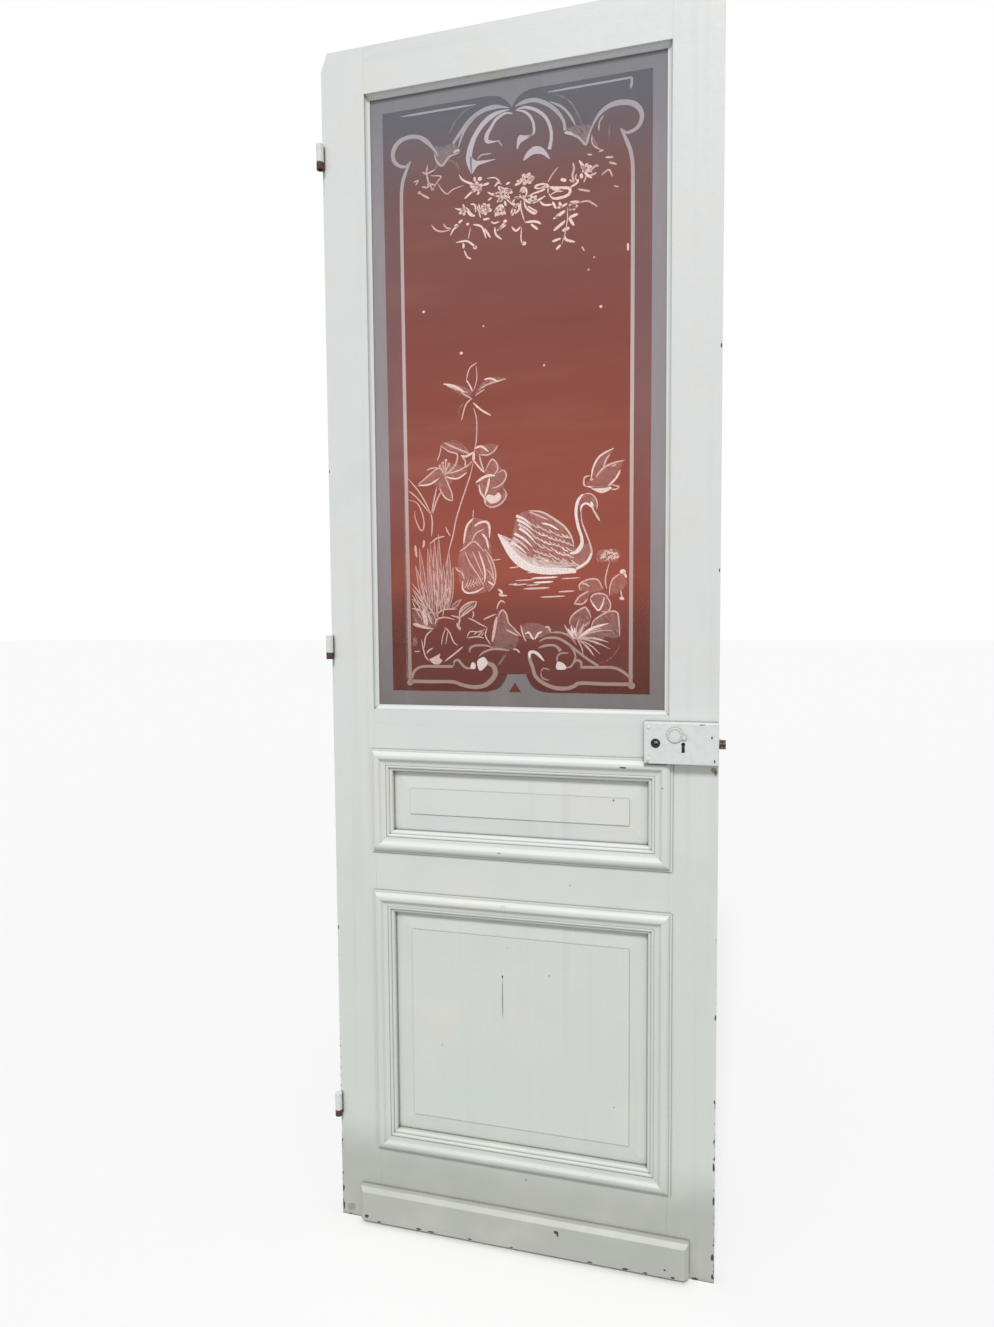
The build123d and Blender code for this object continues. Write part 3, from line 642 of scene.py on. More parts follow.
GARLAND = (
    # left spray
    (LIGHT, 4, (213, 2225), (222, 2220), (240, 2226)),
    (LIGHT, 4, (224, 2236), (222, 2220), (227, 2196)),
    (LIGHT, 3, (229, 2215), (252, 2211), (245, 2202), (236, 2191)),
    (LIGHT, 3, (193, 2207), (204, 2209), (197, 2200)),
    (LIGHT, 4, (211, 2195), (222, 2193), (231, 2198), (240, 2195)),
    (LIGHT, 5, (209, 2182), (227, 2171)),
    (LIGHT, 3, (245, 2198), (254, 2184), (265, 2175), (277, 2182), (299, 2187)),
    (LIGHT, 4, (222, 2197), (228, 2200), (232, 2190)), (LIGHT, 5, (213, 2196), (222, 2192)),
    (LIGHT, 4, (230, 2189), (238, 2187)), (LIGHT, 4, (206, 2186), (212, 2180)),
    # small flower beside it
    (DEEP, (3, 7), (290, 2209), (297, 2198), (311, 2190), (322, 2185)),
    (DEEP, 6, (322, 2200), (323, 2191)), (DEEP, 8, (322, 2184), (336, 2175)),
    (DEEP, 6, (340, 2182), (352, 2184)), (DEEP, 5, (336, 2175), (327, 2165)),
    (DEEP, 5, (301, 2161), (320, 2175)),
    (DEEP, 3, (347, 2194), (363, 2193), (372, 2186), (377, 2178)),
    # star flower and the petals under it
    (DEEP, 8, (371, 2175), (378, 2165)), (DEEP, 9, (383, 2170), (399, 2159)),
    (DEEP, (2, 9), (348, 2168), (358, 2162), (374, 2159)), (DEEP, 6, (368, 2146), (377, 2152)),
    (DEEP, 7, (386, 2152), (395, 2143), (405, 2134)),
    (DEEP, 7, (364, 2118), (367, 2132), (377, 2138), (381, 2127), (385, 2120)),
    (DEEP, 7, (397, 2116), (405, 2127)), (DEEP, 4, (330, 2147), (333, 2137), (338, 2126)),
    (DEEP, 3, (326, 2145), (331, 2130), (334, 2120)), (DEEP, 6, (383, 2146), (386, 2136)),
    (DEEP, 4, (391, 2148), (399, 2142), (404, 2147)),
    (DEEP, 5, (412, 2138), (403, 2132), (400, 2120)),
    (DEEP, 5, (412, 2138), (412, 2126), (404, 2119)),
    (DEEP, 5, (363, 2176), (371, 2183), (376, 2179)), (DEEP, 5, (386, 2177), (394, 2180)),
    (DEEP, 4, (349, 2151), (357, 2156)), (DEEP, 4, (355, 2110), (362, 2106), (372, 2108)),
    # sprays under the star
    (DEEP, (5, 9), (281, 2145), (292, 2141), (304, 2141), (313, 2129), (322, 2125)),
    (DEEP, 4, (297, 2151), (304, 2138)), (DEEP, 4, (313, 2149), (322, 2146), (324, 2132)),
    (DEEP, 10, (340, 2147), (349, 2129)), (DEEP, 6, (339, 2116), (352, 2116)),
    (DEEP, 6, (296, 2121), (288, 2115)), (DEEP, (6, 3), (288, 2111), (277, 2104), (271, 2093)),
    (DEEP, 5, (318, 2109), (336, 2102), (345, 2079)), (DEEP, 5, (342, 2098), (354, 2079)),
    (DEEP, 5, (363, 2098), (365, 2084), (377, 2073)), (DEEP, 5, (367, 2091), (386, 2100)),
    (DEEP, 5, (383, 2105), (370, 2091)),
    (DEEP, 5, (282, 2078), (295, 2079), (306, 2078), (317, 2070), (324, 2063)),
    (DEEP, 6, (298, 2075), (298, 2065)), (DEEP, 4, (299, 2061), (306, 2047), (314, 2043)),
    (DEEP, 5, (397, 2095), (406, 2086), (415, 2093)),
    # low sprays at the left
    (LIGHT, (5, 3), (231, 2119), (240, 2108), (254, 2103), (272, 2105)),
    (LIGHT, 4, (256, 2118), (263, 2109), (272, 2107)), (LIGHT, 3, (313, 2104), (308, 2082)),
    # middle flower, loops and leaves
    (DEEP, 4, (414, 2158), (418, 2166), (425, 2165), (428, 2157), (424, 2148), (417, 2148),
     (414, 2155)),
    (DEEP, 6, (404, 2150), (413, 2148)), (DEEP, 4, (430, 2130), (438, 2124), (449, 2117)),
    (DEEP, 6, (408, 2181), (415, 2178)), (DEEP, 3, (476, 2146), (486, 2150), (500, 2149)),
    (DEEP, 3, (478, 2155), (488, 2153), (498, 2154)), (DEEP, 5, (458, 2163), (466, 2159)),
    (DEEP, 6, (404, 2173), (417, 2177)), (DEEP, 8, (433, 2178), (442, 2181)),
    (DEEP, 5, (405, 2148), (415, 2150)),
    (DEEP, 6, (420, 2152), (424, 2143), (436, 2136), (449, 2138), (465, 2145)),
    (DEEP, 5, (429, 2148), (440, 2152), (461, 2157), (465, 2163), (461, 2168), (445, 2166),
     (449, 2161), (461, 2161)),
    (DEEP, 7, (470, 2150), (472, 2159), (486, 2157), (511, 2153), (512, 2143), (500, 2138),
     (481, 2138), (472, 2148)),
    (DEEP, 7, (465, 2168), (474, 2157)), (DEEP, 8, (495, 2172), (506, 2168)),
    (DEEP, 5, (513, 2154), (527, 2161), (529, 2168)),
    (DEEP, (8, 6), (531, 2202), (540, 2188), (545, 2175), (556, 2166)),
    (DEEP, 8, (535, 2177), (536, 2168)), (DEEP, 5, (454, 2136), (463, 2128), (479, 2127)),
    (DEEP, (4, 8), (422, 2141), (427, 2127), (440, 2116), (448, 2115)),
    (DEEP, 5, (397, 2116), (399, 2127), (411, 2136)),
    (DEEP, 3, (416, 2143), (416, 2127), (423, 2102)),
    (DEEP, 6, (424, 2100), (445, 2099), (456, 2093)), (DEEP, 6, (436, 2095), (450, 2083)),
    (DEEP, 3, (417, 2091), (416, 2068), (421, 2059)),
    # right spray
    (LIGHT, 3, (470, 2170), (479, 2184), (490, 2195)),
    (LIGHT, 5, (519, 2200), (521, 2188), (518, 2175), (522, 2163)),
    (LIGHT, 5, (552, 2179), (563, 2188), (568, 2186)),
    (LIGHT, 4, (574, 2169), (588, 2177), (595, 2163)), (LIGHT, 5, (581, 2201), (597, 2199)),
    (LIGHT, 5, (588, 2191), (603, 2185)), (LIGHT, 4, (569, 2213), (578, 2215)),
    (LIGHT, 4, (547, 2211), (556, 2209)), (LIGHT, 5, (529, 2149), (542, 2145), (552, 2142)),
    (LIGHT, 3, (597, 2146), (607, 2143)), (LIGHT, 4, (531, 2124), (549, 2124), (567, 2111)),
    (LIGHT, 4, (536, 2041), (541, 2032)), (LIGHT, 4, (526, 2178), (524, 2170), (529, 2163)),
    (LIGHT, 4, (512, 2169), (520, 2163)), (LIGHT, 5, (546, 2170), (556, 2172), (565, 2175)),
    (LIGHT, 4, (548, 2184), (556, 2176)), (LIGHT, 4, (540, 2160), (545, 2172)),
    (LIGHT, 3, (556, 2246), (556, 2232), (563, 2222), (574, 2216)),
    # hazy strokes near the corner loops
    (SHADE, 6, (556, 2245), (561, 2232), (568, 2220)), (SHADE, 5, (589, 2259), (588, 2236)),
    (SHADE, 6, (240, 2226), (248, 2238)), (SHADE, 6, (268, 2240), (284, 2232), (290, 2214)),
    # hanging raceme
    (DEEP, 6, (488, 2119), (498, 2121), (508, 2125)), (DEEP, 8, (511, 2112), (524, 2121)),
    (DEEP, 5, (524, 2124), (531, 2126)), (DEEP, 5, (480, 2100), (492, 2103)),
    (DEEP, 6, (479, 2132), (486, 2118)), (DEEP, 7, (492, 2130), (497, 2118)),
    (DEEP, 4, (513, 2127), (529, 2127)), (DEEP, 8, (484, 2101), (504, 2112)),
    (DEEP, 7, (511, 2098), (529, 2103)), (DEEP, 7, (504, 2093), (481, 2077)),
    (DEEP, 7, (511, 2098), (521, 2082)), (DEEP, 8, (498, 2075), (512, 2079)),
    (DEEP, 6, (502, 2066), (506, 2057), (523, 2051)), (DEEP, 6, (478, 2057), (495, 2061)),
    (DEEP, 6, (486, 2041), (495, 2049)),
    (DEEP, 2, (508, 2118), (508, 2095), (503, 2068), (497, 2050)))

PLANTS = (
    # star flower and its stem
    (DEEP, 7, (252, 1802), (277, 1795), (296, 1783)),
    (LIGHT, 4, (256, 1800), (285, 1787), (305, 1781)),
    (LIGHT, 4, (324, 1839), (308, 1828), (301, 1806)),
    (DEEP, 4.5, (301, 1806), (308, 1795), (314, 1782)),
    (LIGHT, 3, (322, 1832), (323, 1805), (316, 1784)),
    (DEEP, 5, (338, 1804), (352, 1805), (368, 1797)),
    (LIGHT, 4.5, (327, 1784), (343, 1793), (363, 1798), (384, 1802)),
    (LIGHT, 4, (284, 1790), (299, 1776), (313, 1768)),
    (LIGHT, 4.5, (313, 1769), (299, 1756), (290, 1726)),
    (SHADE, 4, (295, 1761), (286, 1750), (283, 1736)),
    (DEEP, 5.5, (315, 1760), (331, 1745), (352, 1732)),
    (LIGHT, 3.5, (340, 1785), (330, 1780), (319, 1773)),
    (LIGHT, 3.6, (316, 1750), (322, 1724), (321, 1685), (316, 1660)),
    (LIGHT, 4, (315, 1645), (308, 1617), (299, 1592), (278, 1533), (270, 1497), (262, 1470),
     (252, 1430)),
    (SHADE, FILLED, (256, 1800), (285, 1797), (312, 1782), (300, 1772)),
    (SHADE, FILLED, (318, 1776), (340, 1790), (384, 1802), (345, 1806)),
    # left lily
    (SHADE, FILLED, (195, 1601), (218, 1619), (245, 1632), (270, 1640), (296, 1631), (300, 1620),
     (275, 1611), (262, 1590), (268, 1566), (254, 1572), (241, 1594), (222, 1602)),
    (LIGHT, 4.5, (195, 1602), (218, 1619), (236, 1632), (246, 1631)),
    (DEEP, 5, (195, 1600), (220, 1601), (241, 1613)),
    (LIGHT, 5, (241, 1593), (253, 1573), (269, 1565)),
    (LIGHT, 4.5, (269, 1565), (267, 1583), (254, 1614)),
    (SHADE, 3, (241, 1596), (243, 1604), (246, 1611)),
    (DEEP, 5, (254, 1615), (279, 1610), (300, 1621)),
    (LIGHT, 4.5, (256, 1621), (275, 1624), (292, 1630), (312, 1642)),
    (LIGHT, 3.5, (237, 1648), (243, 1662), (246, 1677)),
    (LIGHT, 5, (244, 1679), (262, 1666), (279, 1660), (280, 1648), (274, 1635), (262, 1622)),
    (LIGHT, 5, (253, 1684), (268, 1676), (288, 1667), (307, 1658)),
    (SHADE, 3.5, (263, 1688), (277, 1686), (292, 1677), (303, 1665)),
    (LIGHT, 4, (214, 1630), (226, 1634), (238, 1634)),
    (SHADE, FILLED, (244, 1679), (262, 1686), (290, 1677), (308, 1658), (285, 1661)),
    # lily in profile above it
    (DEEP, 6, (317, 1668), (331, 1672), (347, 1660)),
    (SHADE, 3, (331, 1672), (345, 1675), (359, 1675)),
    (LIGHT, 4.5, (366, 1672), (357, 1660), (343, 1654), (326, 1656)),
    (DEEP, 6.5, (316, 1662), (300, 1654), (288, 1656)),
    (LIGHT, 4.5, (290, 1653), (297, 1645), (296, 1631)),
    (DEEP, 5, (315, 1645), (325, 1632), (337, 1619)),
    (LIGHT, 5, (327, 1655), (331, 1638), (337, 1621)),
    (LIGHT, 4, (311, 1643), (304, 1636), (298, 1631)),
    (DEEP, 8, (316, 1660), (315, 1652), (315, 1643)),
    (SHADE, FILLED, (317, 1669), (345, 1675), (366, 1672), (345, 1654), (325, 1656)),
    # nodding bell flower
    (SHADE, FILLED, (319, 1600), (336, 1610), (352, 1644), (364, 1635), (377, 1622), (383, 1611),
     (377, 1590), (383, 1572), (372, 1556), (352, 1549), (338, 1556), (329, 1580)),
    (LIGHT, 4.5, (338, 1620), (352, 1644), (363, 1637), (365, 1624), (356, 1613)),
    (LIGHT, 4.5, (365, 1617), (377, 1622), (383, 1612), (377, 1598), (365, 1590), (352, 1587)),
    (LIGHT, 4.5, (377, 1586), (383, 1572), (372, 1556), (352, 1549), (338, 1556)),
    (DEEP, 8, (319, 1600), (334, 1609), (347, 1613), (359, 1612)),
    (DEEP, 5.5, (326, 1596), (329, 1580), (338, 1567), (338, 1556)),
    (DEEP, 6.5, (348, 1609), (344, 1590), (338, 1572)),
    (DEEP, FILLED, (340, 1568), (346, 1575), (358, 1572), (367, 1578), (372, 1568), (364, 1559),
     (350, 1557)),
    # iris: its hood and the striped fall under it
    (SHADE, FILLED, (292, 1478), (300, 1513), (314, 1529), (340, 1521), (348, 1509), (347, 1487),
     (358, 1420), (356, 1394), (335, 1377), (300, 1376), (289, 1388), (278, 1424), (284, 1460)),
    (DEEP, 6.5, (292, 1477), (299, 1512), (314, 1529)),
    (LIGHT, 3, (313, 1546), (313, 1538), (312, 1530)),
    (DEEP, 7, (315, 1512), (327, 1519), (341, 1520), (347, 1510), (347, 1488)),
    (LIGHT, 4, (308, 1478), (318, 1497), (336, 1506)),
    (DEEP, 6, (331, 1497), (340, 1486), (345, 1466)),
    (LIGHT, 4.5, (283, 1462), (295, 1469), (311, 1481), (322, 1476), (336, 1460)),
    (LIGHT, 4, (295, 1461), (304, 1440), (322, 1413), (334, 1390)),
    (LIGHT, 3.6, (311, 1461), (320, 1440), (333, 1412)),
    (DEEP, 5.5, (324, 1461), (333, 1436), (337, 1418), (336, 1398)),
    (LIGHT, 3.6, (340, 1456), (352, 1425), (356, 1397)),
    (LIGHT, 4, (336, 1466), (350, 1447), (359, 1420), (357, 1395), (344, 1379)),
    (DEEP, 5.5, (290, 1402), (289, 1386), (299, 1377), (318, 1379), (334, 1388)),
    (LIGHT, 4, (274, 1431), (278, 1424), (288, 1418), (293, 1404)),
    (LIGHT, 3.5, (341, 1424), (348, 1416), (354, 1404)),
    (DEEP, 5.5, (343, 1400), (349, 1396), (355, 1392)),
    # long blades and grasses round the reeds
    (LIGHT, 3.5, (179, 1398), (198, 1374), (218, 1347), (232, 1319)),
    (LIGHT, 3, (184, 1381), (197, 1364), (209, 1345), (222, 1321)),
    (LIGHT, 3, (179, 1374), (191, 1355), (202, 1327)),
    (LIGHT, 3, (179, 1361), (187, 1344), (200, 1322)),
    (LIGHT, 3.5, (223, 1386), (230, 1384), (234, 1368), (232, 1344), (236, 1324)),
    (LIGHT, 3.5, (236, 1350), (250, 1374), (262, 1393)),
    (LIGHT, 3.5, (245, 1328), (250, 1352), (259, 1370), (265, 1392)),
    (LIGHT, 4, (173, 1615), (193, 1592), (209, 1567), (222, 1541)),
    (LIGHT, 4, (174, 1590), (193, 1574), (220, 1542)),
    (LIGHT, 4, (174, 1571), (192, 1564), (203, 1543), (207, 1522), (204, 1508), (197, 1511),
     (188, 1533), (187, 1548)),
    (LIGHT, 4.5, (222, 1542), (225, 1524), (223, 1494)),
    (LIGHT, 4.5, (236, 1596), (229, 1567), (224, 1542)),
    (LIGHT, 4.5, (245, 1586), (234, 1565), (226, 1540)),
    (LIGHT, 4.5, (219, 1479), (234, 1490), (252, 1494)),
    (LIGHT, 7, (206, 1488), (206, 1480), (204, 1472)),
    (LIGHT, 4, (254, 1513), (258, 1503), (264, 1494)),
    (LIGHT, 7, (187, 1478), (188, 1466), (190, 1452)),
    # broad leaves at the left foot
    (LIGHT, 2.8, (242, 1270), (245, 1288), (251, 1304)),
    (LIGHT, 2.4, (251, 1271), (254, 1286), (256, 1299)),
    (LIGHT, 4, (178, 1346), (190, 1344), (201, 1339)), (LIGHT, 4, (211, 1336), (222, 1313)),
    (LIGHT, 3, (213, 1335), (222, 1338), (231, 1333)),
    (LIGHT, 2.4, (281, 1334), (293, 1346), (309, 1356)),
    (LIGHT, 2.4, (285, 1329), (297, 1341), (311, 1351)), (LIGHT, 2.6, (327, 1288), (334, 1296)),
    (LIGHT, 9, (276, 1315), (283, 1301)),
    (LIGHT, 4, (228, 1313), (233, 1323), (250, 1327), (272, 1322)),
    (LIGHT, 4, (231, 1333), (249, 1343), (277, 1344)),
    (LIGHT, 4, (204, 1264), (208, 1288), (223, 1302)),
    (LIGHT, 4, (249, 1306), (259, 1297), (268, 1277), (277, 1269)),
    (LIGHT, 8, (180, 1314, 1.7), (193, 1310, 1.3), (208, 1306), (225, 1303, 0.6)),
    (LIGHT, 14, (204, 1346), (206, 1328), (210, 1310)),
    (LIGHT, 4, (198, 1281), (202, 1261), (207, 1245), (215, 1236)),
    (LIGHT, 4.5, (209, 1252), (215, 1259), (223, 1263)),
    (LIGHT, 5, (249, 1236), (268, 1250), (288, 1266)), (LIGHT, 3.5, (182, 1256), (194, 1256)),
    (LIGHT, 5, (263, 1331), (281, 1325), (280, 1312), (282, 1300)),
    (LIGHT, 4, (300, 1325), (311, 1321), (325, 1313), (340, 1306)),
    (LIGHT, 4, (341, 1306), (337, 1289), (348, 1270)),
    (LIGHT, 3.5, (297, 1284), (304, 1297), (322, 1297), (336, 1302)),
    (LIGHT, 3.5, (299, 1284), (318, 1287), (334, 1284)), (LIGHT, 3, (312, 1291), (322, 1299)),
    (LIGHT, 3, (320, 1288), (331, 1298)),
    (LIGHT, 4.5, (281, 1324), (284, 1343), (300, 1356), (318, 1359)),
    (LIGHT, 4.5, (318, 1359), (314, 1348), (300, 1338), (281, 1325)),
    (LIGHT, 4.5, (333, 1322), (346, 1328), (359, 1333)),
    (LIGHT, 4.5, (363, 1325), (372, 1341), (381, 1333), (386, 1315), (400, 1302)),
    (LIGHT, 9, (361, 1327), (356, 1302), (351, 1276)),
    (LIGHT, 4.5, (380, 1302), (393, 1295), (406, 1289)),
    (LIGHT, 5, (361, 1343), (365, 1354), (371, 1360), (379, 1355)),
    (DEEP, 7, (364, 1384), (372, 1377), (368, 1372), (383, 1370)),
    (LIGHT, 4, (310, 1340), (312, 1332), (309, 1326)),
    (LIGHT, "straight", FILLED, (215, 1240), (226, 1245), (239, 1252), (237, 1243), (244, 1237),
     (236, 1229), (226, 1229), (219, 1234)),
    (SHADE, FILLED, (178, 1270), (180, 1284), (186, 1286), (189, 1274), (185, 1267)),
    (SHADE, FILLED, (281, 1325), (284, 1343), (300, 1356), (318, 1359), (300, 1338)),
    (SHADE, FILLED, (350, 1276), (357, 1325), (372, 1341), (386, 1315), (406, 1289), (395, 1262),
     (360, 1262)),
    (SHADE, FILLED, (180, 1340), (188, 1312), (225, 1303), (235, 1332), (205, 1350)),
    # bud at the upper right
    (DEEP, 5.5, (554, 1597), (559, 1620), (572, 1640), (598, 1653)),
    (LIGHT, 5.5, (563, 1599), (577, 1615), (595, 1624), (619, 1629)),
    (LIGHT, 4.5, (577, 1615), (583, 1631), (590, 1642)),
    (DEEP, 6, (611, 1611), (603, 1596), (588, 1581)),
    (LIGHT, 4.5, (592, 1583), (608, 1579), (602, 1574), (590, 1575)),
    (LIGHT, 5.5, (552, 1603), (541, 1599), (540, 1586), (545, 1582)),
    (DEEP, 5, (545, 1582), (563, 1579), (588, 1579)), (LIGHT, 7, (552, 1594), (558, 1596)),
    (LIGHT, 4, (594, 1618), (603, 1622)),
    (DEEP, FILLED, (554, 1580), (572, 1568), (588, 1572), (592, 1579)),
    (SHADE, FILLED, (545, 1583), (554, 1600), (572, 1638), (597, 1652), (585, 1622), (616, 1628),
     (598, 1595), (590, 1580)),
    # umbel, buds and clover leaves at the right
    (SHADE, FILLED, (566, 1436), (565, 1452), (578, 1458), (605, 1457), (611, 1445), (600, 1432),
     (580, 1434)),
    (LIGHT, 4, (590, 1432), (584, 1411), (582, 1395), (585, 1381)),
    (LIGHT, 3.6, (611, 1410), (597, 1400), (591, 1385), (590, 1367)),
    (LIGHT, 4.5, (612, 1379), (615, 1363), (619, 1359)),
    (LIGHT, 4.5, (532, 1378), (531, 1391), (549, 1400), (567, 1399), (577, 1381)),
    (LIGHT, 5, (536, 1392), (543, 1391), (551, 1386)),
    (LIGHT, 4.5, (520, 1352), (531, 1367), (549, 1377)),
    (LIGHT, 4.5, (520, 1352), (537, 1352), (547, 1362)),
    (LIGHT, 4.5, (552, 1362), (559, 1370), (574, 1372), (588, 1366)),
    (DEEP, 5, (552, 1361), (559, 1349), (569, 1339), (577, 1352), (580, 1365)),
    (LIGHT, 4, (583, 1368), (592, 1352), (588, 1337), (574, 1336)),
    (LIGHT, 4.5, (511, 1311), (513, 1324), (524, 1336), (541, 1345), (548, 1338), (554, 1324)),
    (LIGHT, 4, (539, 1313), (536, 1300), (530, 1289)),
    (LIGHT, 4, (554, 1303), (559, 1318), (577, 1331), (593, 1337), (606, 1333), (609, 1311),
     (610, 1287)),
    (SHADE, 3.6, (611, 1270), (600, 1252), (584, 1239), (571, 1236)),
    (SHADE, 4, (597, 1292), (600, 1288), (599, 1282)),
    (DEEP, 7, (617, 1412), (621, 1407), (623, 1402)),
    (SHADE, FILLED, (532, 1380), (532, 1391), (549, 1400), (567, 1399), (578, 1381), (555, 1374)),
    (SHADE, FILLED, (520, 1352), (531, 1367), (549, 1377), (545, 1357)),
    (SHADE, FILLED, (552, 1362), (574, 1372), (592, 1360), (588, 1337), (569, 1339)),
    (SHADE, FILLED, (511, 1311), (524, 1336), (547, 1343), (554, 1320), (530, 1289)),
    (SHADE, FILLED, (554, 1303), (559, 1318), (593, 1337), (608, 1328), (610, 1287), (570, 1290)),
    (SHADE, FILLED, (595, 1404), (613, 1409), (624, 1390), (605, 1372), (592, 1370)),
    (SHADE, FILLED, (525, 1283), (552, 1300), (590, 1314), (594, 1296), (562, 1276)),
    # crown of leaves over the right scroll
    (LIGHT, 4.5, (411, 1311), (415, 1293), (422, 1277)),
    (DEEP, 6, (420, 1293), (428, 1295), (434, 1286), (438, 1281)),
    (DEEP, 5.5, (440, 1281), (447, 1293), (455, 1297)),
    (LIGHT, 5.5, (461, 1306), (468, 1306), (472, 1297)),
    (LIGHT, 5, (395, 1261), (402, 1261), (409, 1254)),
    (LIGHT, 4, (395, 1306), (403, 1297), (412, 1288)),
    (SHADE, FILLED, (415, 1308), (435, 1315), (460, 1309), (474, 1300), (462, 1290), (440, 1284),
     (421, 1286)))

SWAN = (
    # body
    (SHADE, FILLED, (366, 1494), (391, 1484), (404, 1528), (430, 1540), (455, 1535), (480, 1521),
     (503, 1503), (519, 1465), (531, 1468), (548, 1470), (555, 1455), (549, 1436), (528, 1420),
     (470, 1412), (430, 1418), (400, 1442), (380, 1470)),
    # neck and head
    (DEEP, "none", 8, (538, 1567, 0.5), (528, 1555), (524, 1533), (528, 1506), (535, 1484),
     (535, 1468, 1.3), (525, 1455, 1.3), (512, 1452, 0.5)),
    (LIGHT, "start", 4.5, (534, 1535), (536, 1513), (545, 1488), (553, 1466), (555, 1450),
     (549, 1436), (538, 1427), (524, 1420)),
    (LIGHT, 3.2, (537, 1566), (550, 1568), (561, 1561), (566, 1549), (565, 1537)),
    (DEEP, 5.5, (533, 1533), (536, 1545), (545, 1549), (554, 1543), (559, 1538)),
    (DEEP, 6, (553, 1552), (558, 1543)), (LIGHT, 5.5, (556, 1540), (564, 1526), (571, 1514)),
    (SHADE, FILLED, (533, 1535), (530, 1555), (545, 1566), (563, 1556), (565, 1540), (550, 1549),
     (538, 1545)),
    # belly, from the tail to the breast
    (DEEP, "none", 19, (365, 1495, 0.2), (379, 1475, 0.8), (395, 1453, 1.2), (414, 1435, 1.3),
     (438, 1423, 1.1), (468, 1418, 1), (497, 1418, 0.9), (524, 1418, 0.7)),
    (LIGHT, "none", 18, (375, 1488, 0.4), (392, 1468, 0.9), (410, 1450, 1.2), (434, 1437, 1.2),
     (466, 1431, 1), (497, 1430, 0.8), (520, 1430, 0.5)),
    (DEEP, 6, (520, 1421), (535, 1427), (548, 1438), (554, 1452)),
    (LIGHT, 4.5, (367, 1494), (390, 1483), (406, 1475)),
    (LIGHT, 4, (373, 1484), (392, 1466), (412, 1452), (432, 1443)),
    # wing
    (LIGHT, 5.5, (429, 1539), (454, 1536), (479, 1522), (502, 1504), (515, 1484), (520, 1464)),
    (DEEP, 5, (454, 1514), (472, 1509), (489, 1499)),
    (LIGHT, 4, (430, 1537), (450, 1528), (468, 1520)))


# Operators

class DoorOperator(bpy.types.Operator):
    """Shared by the door's operators."""

    bl_options = {"REGISTER", "UNDO"}


class DOOR_OT_finishes(DoorOperator):
    """Give every CAD piece its paint, metal or glass"""

    bl_idname = "door.finishes"
    bl_label = "Finishes"

    def execute(self, context):
        finish = context.scene.door_finish
        upright = oil_paint("brushed_oil_paint_upright", finish, "Z")
        level = oil_paint("brushed_oil_paint_level", finish, "X")
        steel = painted_steel("painted_pressed_steel", finish)
        glass = tinted_glass("tinted_drawn_glass", finish)
        bare = dull_metal("dull_rolled_steel", linear("#6E6B66"), linear("#4A4540"), 6, 0.9, 0.5)
        iron = dull_metal("greasy_cast_iron", linear("#3A393A"), linear("#191818"), 3, 0.4, 0.6)
        brass = dull_metal("browned_cast_brass", linear("#9C8474"), linear("#33241E"), 7, 0.6, 0.45)
        slots = {"etched_glass": glass, "painted_steel": steel, "bare_steel": bare,
                 "dark_iron": iron, "worn_brass": brass}
        for part in frame["record"]["subparts"]:
            node = part["node"]
            lies = node.endswith(("_top", "_bottom", "_rail", "board"))
            material = slots.get(part["material_slot"], level if lies else upright)
            mesh = frame["nodes"][node].data
            mesh.materials.clear()
            mesh.materials.append(material)
        return {"FINISHED"}


